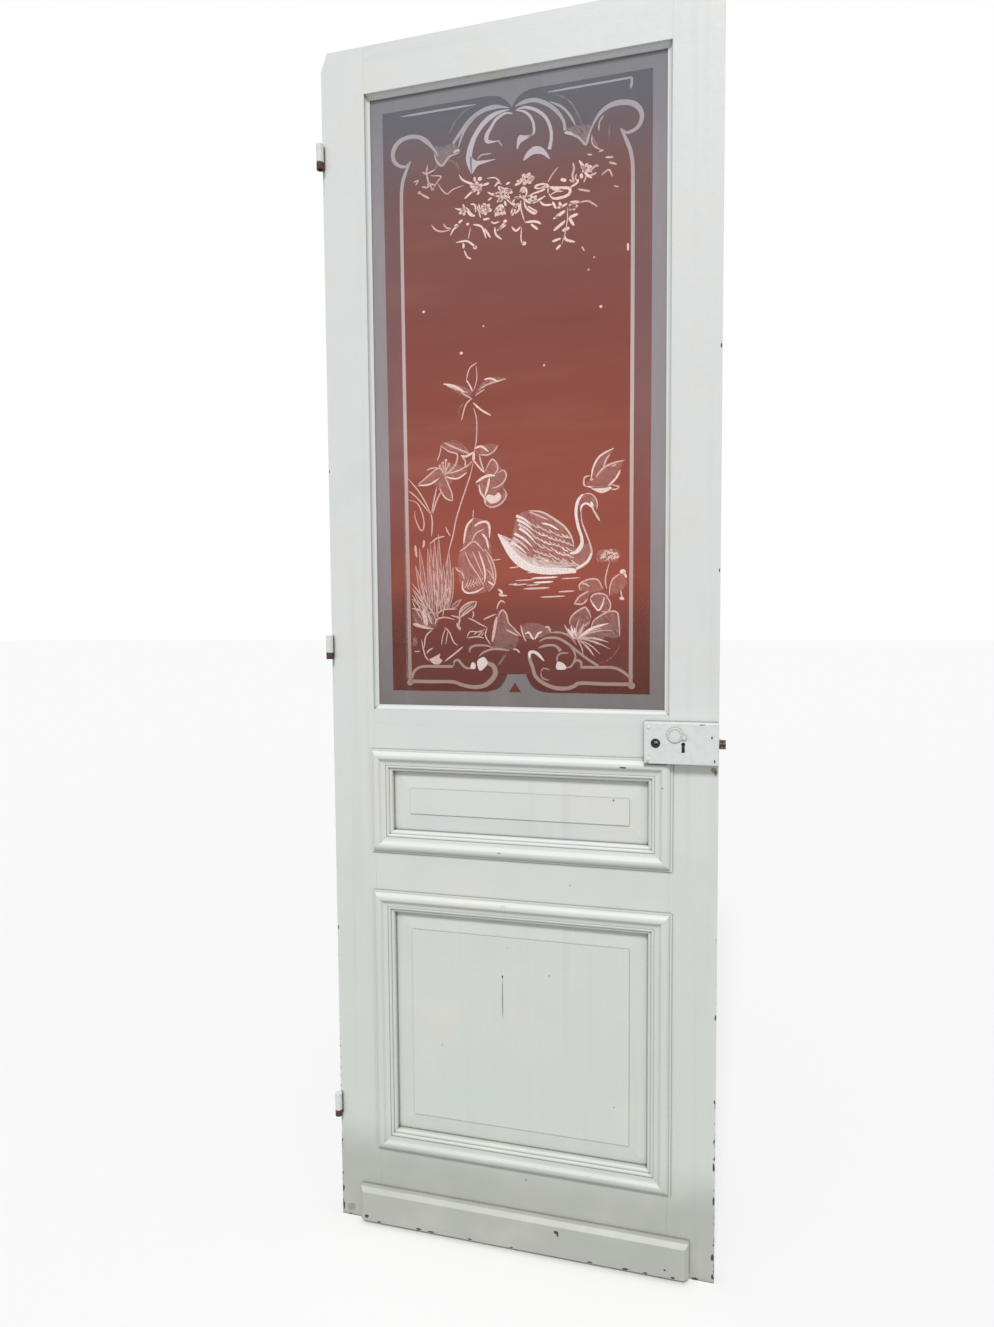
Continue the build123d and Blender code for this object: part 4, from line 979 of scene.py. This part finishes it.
class DOOR_OT_frosted_border(DoorOperator):
    """Frost a border round the pane, and thinly the ground between it and the line frame"""

    bl_idname = "door.frosted_border"
    bl_label = "Frosted border"

    def execute(self, context):
        finish = context.scene.door_finish
        film = context.scene.door_sizes.film
        etching = Etching(film)
        low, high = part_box("glass_pane")
        cover = 9.3  # the beads hide this much of the pane's edge
        left, right = low.x / MM - LEAF_LEFT + cover, high.x / MM - LEAF_LEFT - cover
        foot, head = low.z / MM - LEAF_FOOT + cover, high.z / MM - LEAF_FOOT - cover
        # the border's inner edge, with a cusp at its head and a step round the foot's window
        inner = [(128.5, 2350), (350, 2350)]
        inner += flow([(350, 2350), (372, 2346), (387, 2336), (399, 2321)])[1:-1]
        inner += flow([(399, 2321), (411, 2338), (426, 2347), (446, 2350)])
        inner += [(670.5, 2350), (668.5, 1173.5)]
        inner += flow([(470, 1173.5), (446, 1178), (431, 1190), (421, 1211)])
        inner += flow([(383, 1210), (373, 1190), (360, 1179), (338, 1173.5)])
        inner += [(133.5, 1173.5)]
        window = [(386, 1173.5), (411, 1173.5), (398, 1194)]
        outer = [(left, foot), (right, foot), (right, head), (left, head)]
        etching.fill([outer, inner, window], DEEP, smooth=False)
        border = even_frost("evenly_etched_glass", (
            (1150, finish.border_foot), (1560, finish.border), (2120, finish.border),
            (2380, finish.border_head)), 0.93)
        finish_piece("frosted_border", etching.bm, [border], "leaf")

        # thin frost from the border to the line frame, which bounds the clear field
        etching = Etching(film / 2)
        field = [(172, 1192), (260, 1192), (308, 1180), (346, 1190), (364, 1212), (430, 1212),
                 (446, 1192), (480, 1179), (528, 1192), (633, 1192), (633, 2190), (625, 2222),
                 (613, 2246), (642, 2250), (648, 2264), (641, 2282), (606, 2294), (572, 2281),
                 (556, 2264), (524, 2268), (500, 2285), (463, 2320), (425, 2328), (399, 2318),
                 (368, 2327), (340, 2324), (300, 2297), (277, 2270), (240, 2266), (222, 2282),
                 (187, 2295), (156, 2282), (152, 2262), (160, 2248), (189, 2247), (174, 2220),
                 (168, 2195)]
        etching.fill([inner, field], SHADE, smooth=False)
        thin = even_frost("thinly_etched_glass", (
            (1173, linear("#4E2A22")), (1430, linear("#5E4641")), (1750, linear("#7C7F86")),
            (2350, linear("#62646F"))), 0.32)
        # its faces carry the third material index
        finish_piece("thin_frost", etching.bm, [thin] * 3, "leaf")
        return {"FINISHED"}


class DOOR_OT_etched_frame(DoorOperator):
    """Draw the line frame with its corner loops, head ribbons and foot scrolls"""

    bl_idname = "door.etched_frame"
    bl_label = "Etched frame"

    def execute(self, context):
        finish, sizes = context.scene.door_finish, context.scene.door_sizes
        etching = Etching(sizes.film)
        for taper, steps, *points in FRAME_LINES:
            etching.line(points, sizes.frame_line / MM, LIGHT, taper, steps)
        for x, z in ((171.6, 1191), (633.6, 1190.5)):
            etching.dot(x, z, 7.0, LIGHT)
        etching.draw(FRAME_STROKES)
        # a faint band behind each upright
        for x in (167, 633):
            etching.fill([[(x - 3.5, 1200), (x + 3.5, 1200), (x + 3.5, 2150), (x - 3.5, 2150)]],
                         SHADE, smooth=False)
        half = even_frost("half_etched_glass", (
            (1190, linear("#CDB9AE")), (1450, linear("#E6D6CE")), (1700, finish.frost),
            (2340, linear("#DCD6DC"))), 0.48)
        firm = even_frost("firmly_etched_glass", (
            (1190, finish.frost), (1700, finish.frost), (2340, linear("#D6CED6"))), 0.72)
        finish_piece("etched_frame", etching.bm, [firm, half, etch_materials("frost")[2]],
                     "leaf")
        return {"FINISHED"}


class DOOR_OT_etched_garland(DoorOperator):
    """Draw the hanging garland of small flowers under the head ribbons"""

    bl_idname = "door.etched_garland"
    bl_label = "Etched garland"

    def execute(self, context):
        etching = Etching(context.scene.door_sizes.film, 0.78)
        etching.draw(GARLAND)
        # open flowers among the sprays: outlined petals, bright down their middles
        for x, z, reach, petals, turn in (
                (380, 2159, 20, 5, 0.5), (326, 2180, 15, 5, 0.25), (344, 2135, 15, 5, 0.9),
                (428, 2182, 16, 6, 0.1), (373, 2127, 12, 5, 0.4), (519, 2118, 10, 5, 0.0),
                (298, 2136, 10, 4, 0.3), (440, 2142, 11, 5, 0.7), (545, 2186, 12, 5, 0.2)):
            for k in range(petals):
                a = turn + math.tau * k / petals
                ux, uz = math.cos(a), 0.8 * math.sin(a)
                base, tip = (x + 2 * ux, z + 2 * uz), (x + reach * ux, z + reach * uz)
                etching.petal(base, tip, reach * 0.42, 0, DEEP, 2.2)
                etching.line([base, tip], reach * 0.22, DEEP)
        # buds and berries, and stray spots on the open ground
        for x, z, radius, tone in (
                (206, 2185, 3.4, LIGHT), (233, 2188, 2.6, LIGHT), (333, 2195, 4.6, DEEP),
                (307, 2111, 3.2, DEEP), (384, 2107, 3.8, DEEP), (422, 2161, 6.0, LIGHT),
                (519, 2118, 6.5, DEEP), (422, 2060, 4.4, DEEP), (322, 2064, 4.2, DEEP),
                (283, 2111, 3.6, DEEP), (212, 1949, 3.0, DEEP), (291, 1860, 3.4, DEEP),
                (338, 1909, 2.2, LIGHT), (573, 1924, 3.0, DEEP), (461, 1822, 2.6, LIGHT),
                (560, 2018, 2.0, LIGHT), (549, 1996, 2.2, LIGHT)):
            etching.dot(x, z, radius, tone, 0.85)
        etching.line([(624.5, 2023), (624.5, 2037)], 5, DEEP)
        etching.finish("etched_garland", "plant_frost")
        return {"FINISHED"}


class DOOR_OT_etched_plants(DoorOperator):
    """Draw the water plants: lilies, iris, reeds and leaves on both sides of the swan"""

    bl_idname = "door.etched_plants"
    bl_label = "Etched plants"

    def execute(self, context):
        etching = Etching(context.scene.door_sizes.film, 0.66)
        line, petal, dot = etching.line, etching.petal, etching.dot
        etching.draw(PLANTS)
        # stamens of the left lily
        for x, z in ((243, 1637), (249, 1643), (256, 1648), (262, 1640), (270, 1631), (252, 1627)):
            line([(252, 1618), (x, z)], 4, LIGHT, "start")
            dot(x, z, 3.2, LIGHT)
        # bars across the iris's striped fall
        for k in range(6):
            x = 292 + 6.5 * k
            line([(x, 1386 + 2 * k), (x + 6, 1394 + 2 * k), (x + 9, 1404 + k)], 2.6, LIGHT)
            line([(x + 10, 1385 + 2 * k), (x + 3, 1396 + k)], 2.2, LIGHT)
        # reeds that fan from one root: each one's tip, bend and width
        root = (233, 1337)
        for tx, tz, bend, width in (
                (181, 1434, -6, 9), (186, 1470, -10, 10), (197, 1402, -4, 7), (214, 1478, -6, 10),
                (206, 1470, -8, 8), (228, 1424, -2, 9), (243, 1430, 3, 9), (252, 1436, 4, 9),
                (262, 1424, 5, 10), (270, 1466, 10, 11), (277, 1430, 8, 8), (177, 1386, -3, 8),
                (178, 1366, 0, 6), (288, 1360, 4, 8), (225, 1490, -4, 9), (240, 1500, 2, 8)):
            bx = root[0] + (tx - 225) * 0.5
            base = (bx, root[1] + abs(bx - root[0]) * 0.3)
            petal(base, (tx, tz), width, bend, LIGHT, 1.9)
        # florets of the umbel, and the buds by it
        rng = random.Random(4)
        for k in range(30):
            a, r = rng.uniform(0, math.tau), rng.uniform(0.35, 1.0)
            x, z = 588 + 21 * r * math.cos(a), 1446 + 10 * r * math.sin(a)
            line([(x - 3, z - 2), (x, z + 2.5), (x + 3.5, z - 1)], 3.0, LIGHT if k % 3 else DEEP)
        dot(616, 1414, 6, DEEP, 0.8)
        dot(614, 1362, 4.5, DEEP, 0.7)
        # veins that fan from the heart of the broad leaf
        heart = (525, 1282)
        for tx, tz, width, tone in (
                (588, 1313, 6, DEEP), (567, 1297, 4, LIGHT), (588, 1276, 4.5, LIGHT),
                (572, 1270, 3.5, LIGHT), (560, 1248, 4, LIGHT), (541, 1312, 3.5, LIGHT),
                (508, 1303, 5, DEEP), (514, 1309, 5, DEEP), (521, 1305, 5, DEEP),
                (500, 1311, 4.5, LIGHT), (548, 1262, 4, LIGHT), (556, 1284, 3.5, LIGHT),
                (578, 1304, 2.4, LIGHT), (552, 1318, 2.4, LIGHT), (600, 1300, 2.4, LIGHT),
                (530, 1322, 2.4, LIGHT), (592, 1262, 2.4, LIGHT), (572, 1252, 2.4, LIGHT),
                (538, 1252, 2.8, LIGHT), (505, 1294, 3.5, LIGHT), (534, 1304, 3.0, LIGHT)):
            mid = ((heart[0] + tx) / 2 + (heart[1] - tz) * 0.08,
                   (heart[1] + tz) / 2 + (tx - heart[0]) * 0.08, 1.3)
            line([(*heart, 0.8), mid, (tx, tz, 0.8)], width, tone)
        etching.finish("etched_plants", "plant_frost")
        return {"FINISHED"}


class DOOR_OT_etched_swan(DoorOperator):
    """Draw the swan and the ripples under it"""

    bl_idname = "door.etched_swan"
    bl_label = "Etched swan"

    def execute(self, context):
        etching = Etching(context.scene.door_sizes.film, 0.72)
        line = etching.line
        etching.draw(SWAN)
        # quills of the wing
        for k, (ax, az, bx, bz) in enumerate((
                (403, 1530, 436, 1509), (405, 1522, 440, 1498), (407, 1513, 442, 1487),
                (409, 1505, 442, 1476), (399, 1495, 436, 1467), (396, 1486, 430, 1459),
                (392, 1477, 424, 1453))):
            line([(ax, az, 1.3), ((ax + bx) / 2, (az + bz) / 2 + 3), (bx, bz, 0.5)], 6.0,
                 DEEP if k % 3 != 2 else LIGHT, "end")
        # small feathers
        rng = random.Random(11)
        for row in range(7):
            for k in range(9):
                x = 436 + 8.5 * k + 3 * (row % 2)
                z = 1513 - 12 * row - 3.2 * k + rng.uniform(-2, 2)
                if z > 1434 and (x - 430) * 0.35 + z < 1536:
                    line([(x, z), (x + 6, z - 6), (x + 13, z - 8)], 3.2,
                         DEEP if rng.random() < 0.25 else LIGHT)
        for k in range(9):
            x = 410 + 13 * k
            line([(x, 1452 - 1.6 * k), (x + 12, 1440 - 1.3 * k), (x + 25, 1432 - 0.8 * k)],
                 3.4, LIGHT)
        # ripples
        for ax, bx, z, width, tone in (
                (434, 487, 1405, 5, DEEP), (495, 532, 1403, 3, LIGHT),
                (396, 425, 1392, 3.5, LIGHT),
                (438, 478, 1396, 5, DEEP), (417, 470, 1384, 5, LIGHT), (488, 521, 1377, 4, LIGHT),
                (452, 502, 1367, 4, LIGHT), (388, 408, 1427, 3.5, LIGHT),
                (352, 371, 1443, 2.5, LIGHT),
                (386, 404, 1393, 3, LIGHT), (424, 450, 1391, 3, LIGHT), (400, 440, 1401, 3, LIGHT),
                (425, 446, 1416, 3, LIGHT)):
            line([(ax, z - 0.6), ((ax + bx) / 2, z), (bx, z + 1.0)], width, tone)
        etching.finish("etched_swan", "swan_frost")
        return {"FINISHED"}


def disc_on_face(bm, centre, radius, proud, rings=4, around=20):
    """A shallow dome on the front face, such as a painted-over screw head."""
    grid = []
    for i in range(rings + 1):
        a = math.pi / 2 * i / rings
        grid.append([bm.verts.new((centre[0] + radius * math.sin(a) * math.cos(t),
                                   centre[1] - proud * math.cos(a),
                                   centre[2] + radius * math.sin(a) * math.sin(t)))
                     for t in (math.tau * k / around for k in range(around))])
    for inner, outer in zip(grid, grid[1:]):
        for k in range(around):
            bm.faces.new((inner[k], outer[k], outer[(k + 1) % around], inner[(k + 1) % around]))
    bmesh.ops.remove_doubles(bm, verts=grid[0], dist=1e-6)


def ring_on_face(bm, centre, radius, tube, proud, around=48, sides=10):
    """A half-round ring lying on the front face."""
    rings = []
    for k in range(around):
        t = math.tau * k / around
        ring = []
        for j in range(sides):
            a = math.tau * j / sides
            r = radius + tube * math.cos(a)
            ring.append(bm.verts.new((centre[0] + r * math.cos(t), centre[1] - proud * math.sin(a),
                                      centre[2] + r * math.sin(t))))
        rings.append(ring)
    for k in range(around):
        for j in range(sides):
            bm.faces.new((rings[k][j], rings[(k + 1) % around][j],
                          rings[(k + 1) % around][(j + 1) % sides], rings[k][(j + 1) % sides]))
    bmesh.ops.recalc_face_normals(bm, faces=bm.faces)


class DOOR_OT_lock_details(DoorOperator):
    """Add the lock's screw heads, its levers, and the rings on its hub and keyhole cover"""

    bl_idname = "door.lock_details"
    bl_label = "Lock details"

    def execute(self, context):
        steel = bpy.data.materials["painted_pressed_steel"]
        iron = bpy.data.materials["greasy_cast_iron"]
        low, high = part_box("lock_case")
        bm = bmesh.new()
        inset = 0.0085
        for z in (high.z - 0.0095, low.z + inset):
            disc_on_face(bm, (low.x + inset, low.y + 0.0002, z), radius=0.0038, proud=0.0014)
        finish_piece("lock_screw_heads", bm, [steel], "leaf", True)

        # three levers behind the keyhole, stepped at their front edges
        bm = bmesh.new()
        keyhole = high.x - 0.066  # the keyhole's setback from the lock's edge
        thickness, step, corners = 0.0015, 0.0022, 24
        for k in range(3):
            front = low.y + 0.0040 + step * k
            half, foot, head = 0.0100 - 0.0008 * k, low.z + 0.014, low.z + 0.046 - 0.0015 * k
            outline = [(keyhole + half * math.cos(a), (foot + head) / 2
                        + (head - foot) / 2 * max(-1, min(1, 1.5 * math.sin(a))))
                       for a in (math.tau * j / corners for j in range(corners))]
            near, far = ([bm.verts.new((x, y, z)) for x, z in outline]
                         for y in (front, front + thickness))
            bm.faces.new(near[::-1])
            bm.faces.new(far)
            for j in range(corners):
                n = (j + 1) % corners
                bm.faces.new((near[j], near[n], far[n], far[j]))
        bmesh.ops.recalc_face_normals(bm, faces=bm.faces)
        finish_piece("lock_levers", bm, [iron], "leaf")

        # the turned rim and collar of the hub
        low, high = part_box("spindle_follower")
        turn = next(j for j in frame["joints"] if j["name"] == "handle_follower_turn")
        hub = Vector((turn["pos_m"][0], low.y, turn["pos_m"][2]))
        bm = bmesh.new()
        for radius, tube, proud in ((0.0062, 0.0006, 0.0005), (0.0079, 0.0005, 0.0004)):
            ring_on_face(bm, hub, radius, tube, proud)
        finish_piece("hub_rings", bm, [iron], "handle_follower", True)

        # the cover's raised rings; its disc fills the upper left of its box
        low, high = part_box("keyhole_cover")
        disc = 0.015
        centre = Vector((low.x + disc, low.y + 0.0001, high.z - disc))
        bm = bmesh.new()
        for radius, tube, proud in ((0.0127, 0.0012, 0.0009), (0.0104, 0.0005, 0.0004)):
            ring_on_face(bm, centre, radius, tube, proud)
        finish_piece("cover_ring", bm, [steel], "keyhole_flap", True)
        return {"FINISHED"}


def on_face(node, x, z):
    """The place and the normal where a node's front face lies, at x and z in mm."""
    hit, where, normal, _ = frame["nodes"][node].ray_cast(
        Vector((x * MM, -0.2, z * MM)), Vector((0, 1, 0)))
    if not hit:
        raise RuntimeError(f"no face of {node} at {x}, {z}")
    return where, normal


def flake(bm, node, x, z, wide, tall, rng):
    """A thin, ragged flake that lies on a node's front face at x, z, all in mm."""
    where, normal = on_face(node, x, z)
    across = (Vector((1, 0, 0)) - normal * normal.x).normalized()
    up = normal.cross(across)
    count, proud, sunk = 16, 0.00012, -0.0003
    rim = [(math.tau * k / count, rng.uniform(0.68, 1.0)) for k in range(count)]
    top, base = ([bm.verts.new(where + normal * lift + across * (wide * MM / 2 * r * math.cos(a))
                               + up * (tall * MM / 2 * r * math.sin(a))) for a, r in rim]
                 for lift in (proud, sunk))
    bm.faces.new(top)
    bm.faces.new(base[::-1])
    for k in range(count):
        n = (k + 1) % count
        bm.faces.new((top[k], base[k], base[n], top[n]))


class DOOR_OT_wear(DoorOperator):
    """Add the crack, nail holes, chips and stains that the paint has"""

    bl_idname = "door.wear"
    bl_label = "Cracks, holes and chips"

    def execute(self, context):
        finish = context.scene.door_finish
        rng = random.Random(5)
        wood = bare_patch("bare_old_pine", tuple(finish.bare_wood), linear("#3D352D"), 0.85)
        # nail holes and the crack are flat near-black flakes: painted shade of their hollows
        hole_shade = bare_patch("dark_hollow", linear("#2E2822"), linear("#181512"), 0.9)
        stain = bare_patch("yellowed_paint", linear("#C9C2A8"), linear("#AFA687"), 0.5, 0.7)
        rust = bare_patch("weeping_rust", tuple(finish.rust), linear("#4A3022"), 0.8, 0.85)
        sheet = bare_patch("rubbed_steel", linear("#77726C"), linear("#4E463E"), 0.6)
        bpy.context.view_layer.update()
        # each mark's place, width and height
        for name, material, slot, places in (
                ("holes_and_crack", hole_shade, "painted_wood", (
                    ("upper_panel", (600.5, 729, 3.2, 4.2)),
                    ("lower_panel", (370, 297, 1.6, 100), (370, 344, 2.8, 9), (469, 357, 2.6, 3.6)),
                    ("upper_moulding_front_right", (696.6, 761.5, 3, 3)),
                    ("upper_moulding_front_bottom", (369.4, 612.9, 8, 1.8)),
                    ("bottom_rail", (419.9, -83.4, 4, 3)),
                    ("lower_panel", (236, 181, 2.4, 2.4), (602, 96, 2.2, 3.0)),
                    ("middle_rail", (514, 553, 2.4, 2.4)))),
                ("chips_to_the_wood", wood, "painted_wood", (
                    ("upper_moulding_front_top", (620.8, 799.5, 16, 3.4)),
                    ("plinth_board", (187, -219.8, 12, 5.5), (215, -220.6, 18, 4),
                     (302, -220.3, 10, 4.5), (557, -220.5, 12, 4), (628, -220.2, 15, 5),
                     (668, -220.7, 10, 4), (722, -219.8, 9, 5.5), (96, -220.8, 10, 4),
                     (392, -221, 8, 3.4)),
                    ("lock_stile", (765, -229.0, 15, 5), (797.9, -178.7, 6.5, 17),
                     (798.2, -219, 6, 14), (798.8, 7.7, 4.8, 20), (799.2, 60, 3.6, 12),
                     (799, -62, 4.2, 22), (799.4, 142, 3.4, 9), (799.5, 312, 3, 14),
                     (799.4, 1595, 3.4, 11), (799.6, 1180, 2.8, 8)),
                    ("hinge_stile", (4.2, -173, 5, 15), (4.4, -213, 5.4, 20), (3.6, -62, 3.6, 9),
                     (3.3, 421, 3.0, 10), (3.2, 1404, 2.6, 9)))),
                ("yellow_stains", stain, "painted_wood", (
                    ("lock_stile", (793, 799, 13, 13), (796, 793, 8, 12)),
                    ("hinge_stile", (22, -214, 26, 20)))),
                ("rust_round_nails", rust, "painted_wood", (
                    ("plinth_board", (67, -212.6, 11, 8.5), (487, -170.5, 12, 8.5),
                     (490, -176, 5, 7), (706, -207, 5, 5)),)),
                ("rubbed_lock_edges", sheet, "painted_steel", (
                    ("lock_case", (770.7, 888.4, 14, 1.8), (788.3, 864.4, 4, 6.5),
                     (793.5, 819.4, 4, 7), (668, 813.8, 8, 2)),))):
            bm = bmesh.new()
            for node, *marks in places:
                for mark in marks:
                    flake(bm, node, *mark, rng)
            finish_piece(name, bm, [material], "leaf")

        # a round plug in the rail of the lower mouldings, painted over
        where, _ = on_face("lower_moulding_front_top", 377.6, 498.1)
        bm = bmesh.new()
        disc_on_face(bm, where + Vector((0, 0.0006, 0)), radius=0.0065, proud=0.0011)
        finish_piece("painted_plug", bm, [bpy.data.materials["brushed_oil_paint_level"]],
                     "leaf", True)
        return {"FINISHED"}


class DOOR_OT_stage(DoorOperator):
    """Set up the plain floor, the backdrop, the soft light and the camera"""

    bl_idname = "door.stage"
    bl_label = "Stage"

    def execute(self, context):
        scene = context.scene
        white = (1, 1, 1, 1)

        # the paper looks white and keeps the shadow, and throws little light up at the door
        material, tree = new_material("plain_paper")
        rays = add_node(tree, "ShaderNodeLightPath")
        bright = add_node(tree, "ShaderNodeBsdfDiffuse", {"Color": linear("#F6F6F6")})[0]
        soft = add_node(tree, "ShaderNodeBsdfDiffuse", {"Color": linear("#B4B4B4")})[0]
        paper = add_node(tree, "ShaderNodeMixShader", {
            0: rays["Is Diffuse Ray"], 1: bright, 2: soft})[0]
        add_node(tree, "ShaderNodeOutputMaterial", {"Surface": paper})
        mesh = bpy.data.meshes.new("floor")
        foot, far = LEAF_FOOT * MM, 40
        corners = ((-far, -far, foot), (far, -far, foot), (far, far, foot), (-far, far, foot))
        mesh.from_pydata(corners, [], [(0, 1, 2, 3)])
        mesh.materials.append(material)
        floor = bpy.data.objects.new("floor", mesh)
        scene.collection.objects.link(floor)

        # a white studio: what the camera, the glass and the gloss see is twice as bright as
        # the light that it gives
        world = bpy.data.worlds.new("studio")
        scene.world = world
        world.use_nodes = True
        tree = world.node_tree
        tree.nodes.clear()
        rays = add_node(tree, "ShaderNodeLightPath")
        seen = add_node(tree, "ShaderNodeMath", {
            0: rays["Is Camera Ray"], 1: rays["Is Transmission Ray"]}, operation="MAXIMUM")[0]
        seen = add_node(tree, "ShaderNodeMath", {0: seen, 1: rays["Is Glossy Ray"]},
                        operation="MAXIMUM")[0]
        fill = add_node(tree, "ShaderNodeBackground", {"Color": white, "Strength": 0.5})[0]
        back = add_node(tree, "ShaderNodeBackground", {"Color": white, "Strength": 1.0})[0]
        mix = add_node(tree, "ShaderNodeMixShader", {0: seen, 1: fill, 2: back})[0]
        add_node(tree, "ShaderNodeOutputWorld", {"Surface": mix})

        # one broad, soft lamp from above and behind the viewer
        lamp = bpy.data.lights.new("soft_key", "SUN")
        lamp.energy = 2.2
        lamp.angle = math.radians(14)
        lamp_object = bpy.data.objects.new("soft_key", lamp)
        lamp_object.location = (-1, -3, 4)
        beam = Vector((-0.06, 0.64, -0.75))
        lamp_object.rotation_euler = beam.to_track_quat("-Z", "Y").to_euler()
        scene.collection.objects.link(lamp_object)

        # the camera, as solved from the leaf's straight lines
        camera = bpy.data.cameras.new("camera")
        camera.sensor_width = 36
        camera.lens = 21.816
        camera.clip_start = 0.05
        camera_object = bpy.data.objects.new("camera", camera)
        camera_object.location = (0.76913, -1.57151, 1.09916)
        camera_object.rotation_euler = [math.radians(a) for a in (86.5478, 0.4202, 14.3088)]
        scene.collection.objects.link(camera_object)
        scene.camera = camera_object
        scene.view_settings.view_transform = "Standard"
        return {"FINISHED"}


class DOOR_PT_panel(bpy.types.Panel):
    """The door's pieces, colours and sizes"""

    bl_label = "Etched Glass Door"
    bl_idname = "DOOR_PT_panel"
    bl_space_type = "VIEW_3D"
    bl_region_type = "UI"
    bl_category = "Door"

    def draw(self, context):
        for settings in (context.scene.door_finish, context.scene.door_sizes):
            for name in settings.__annotations__:
                self.layout.prop(settings, name)
        for operator in OPERATORS:
            self.layout.operator(operator.bl_idname)


OPERATORS = (DOOR_OT_finishes, DOOR_OT_frosted_border, DOOR_OT_etched_frame, DOOR_OT_etched_garland,
             DOOR_OT_etched_plants, DOOR_OT_etched_swan, DOOR_OT_lock_details, DOOR_OT_wear,
             DOOR_OT_stage)
CLASSES = (DoorFinish, DoorSizes, *OPERATORS, DOOR_PT_panel)


def register():
    for cls in CLASSES:
        bpy.utils.register_class(cls)
    bpy.types.Scene.door_finish = bpy.props.PointerProperty(type=DoorFinish)
    bpy.types.Scene.door_sizes = bpy.props.PointerProperty(type=DoorSizes)


def unregister():
    del bpy.types.Scene.door_finish, bpy.types.Scene.door_sizes
    for cls in reversed(CLASSES):
        bpy.utils.unregister_class(cls)


def main():
    register()
    bpy.ops.door.finishes()
    bpy.ops.door.frosted_border()
    bpy.ops.door.etched_frame()
    bpy.ops.door.etched_garland()
    bpy.ops.door.etched_plants()
    bpy.ops.door.etched_swan()
    bpy.ops.door.lock_details()
    bpy.ops.door.wear()
    bpy.ops.door.stage()


if __name__ == "__main__":
    main()
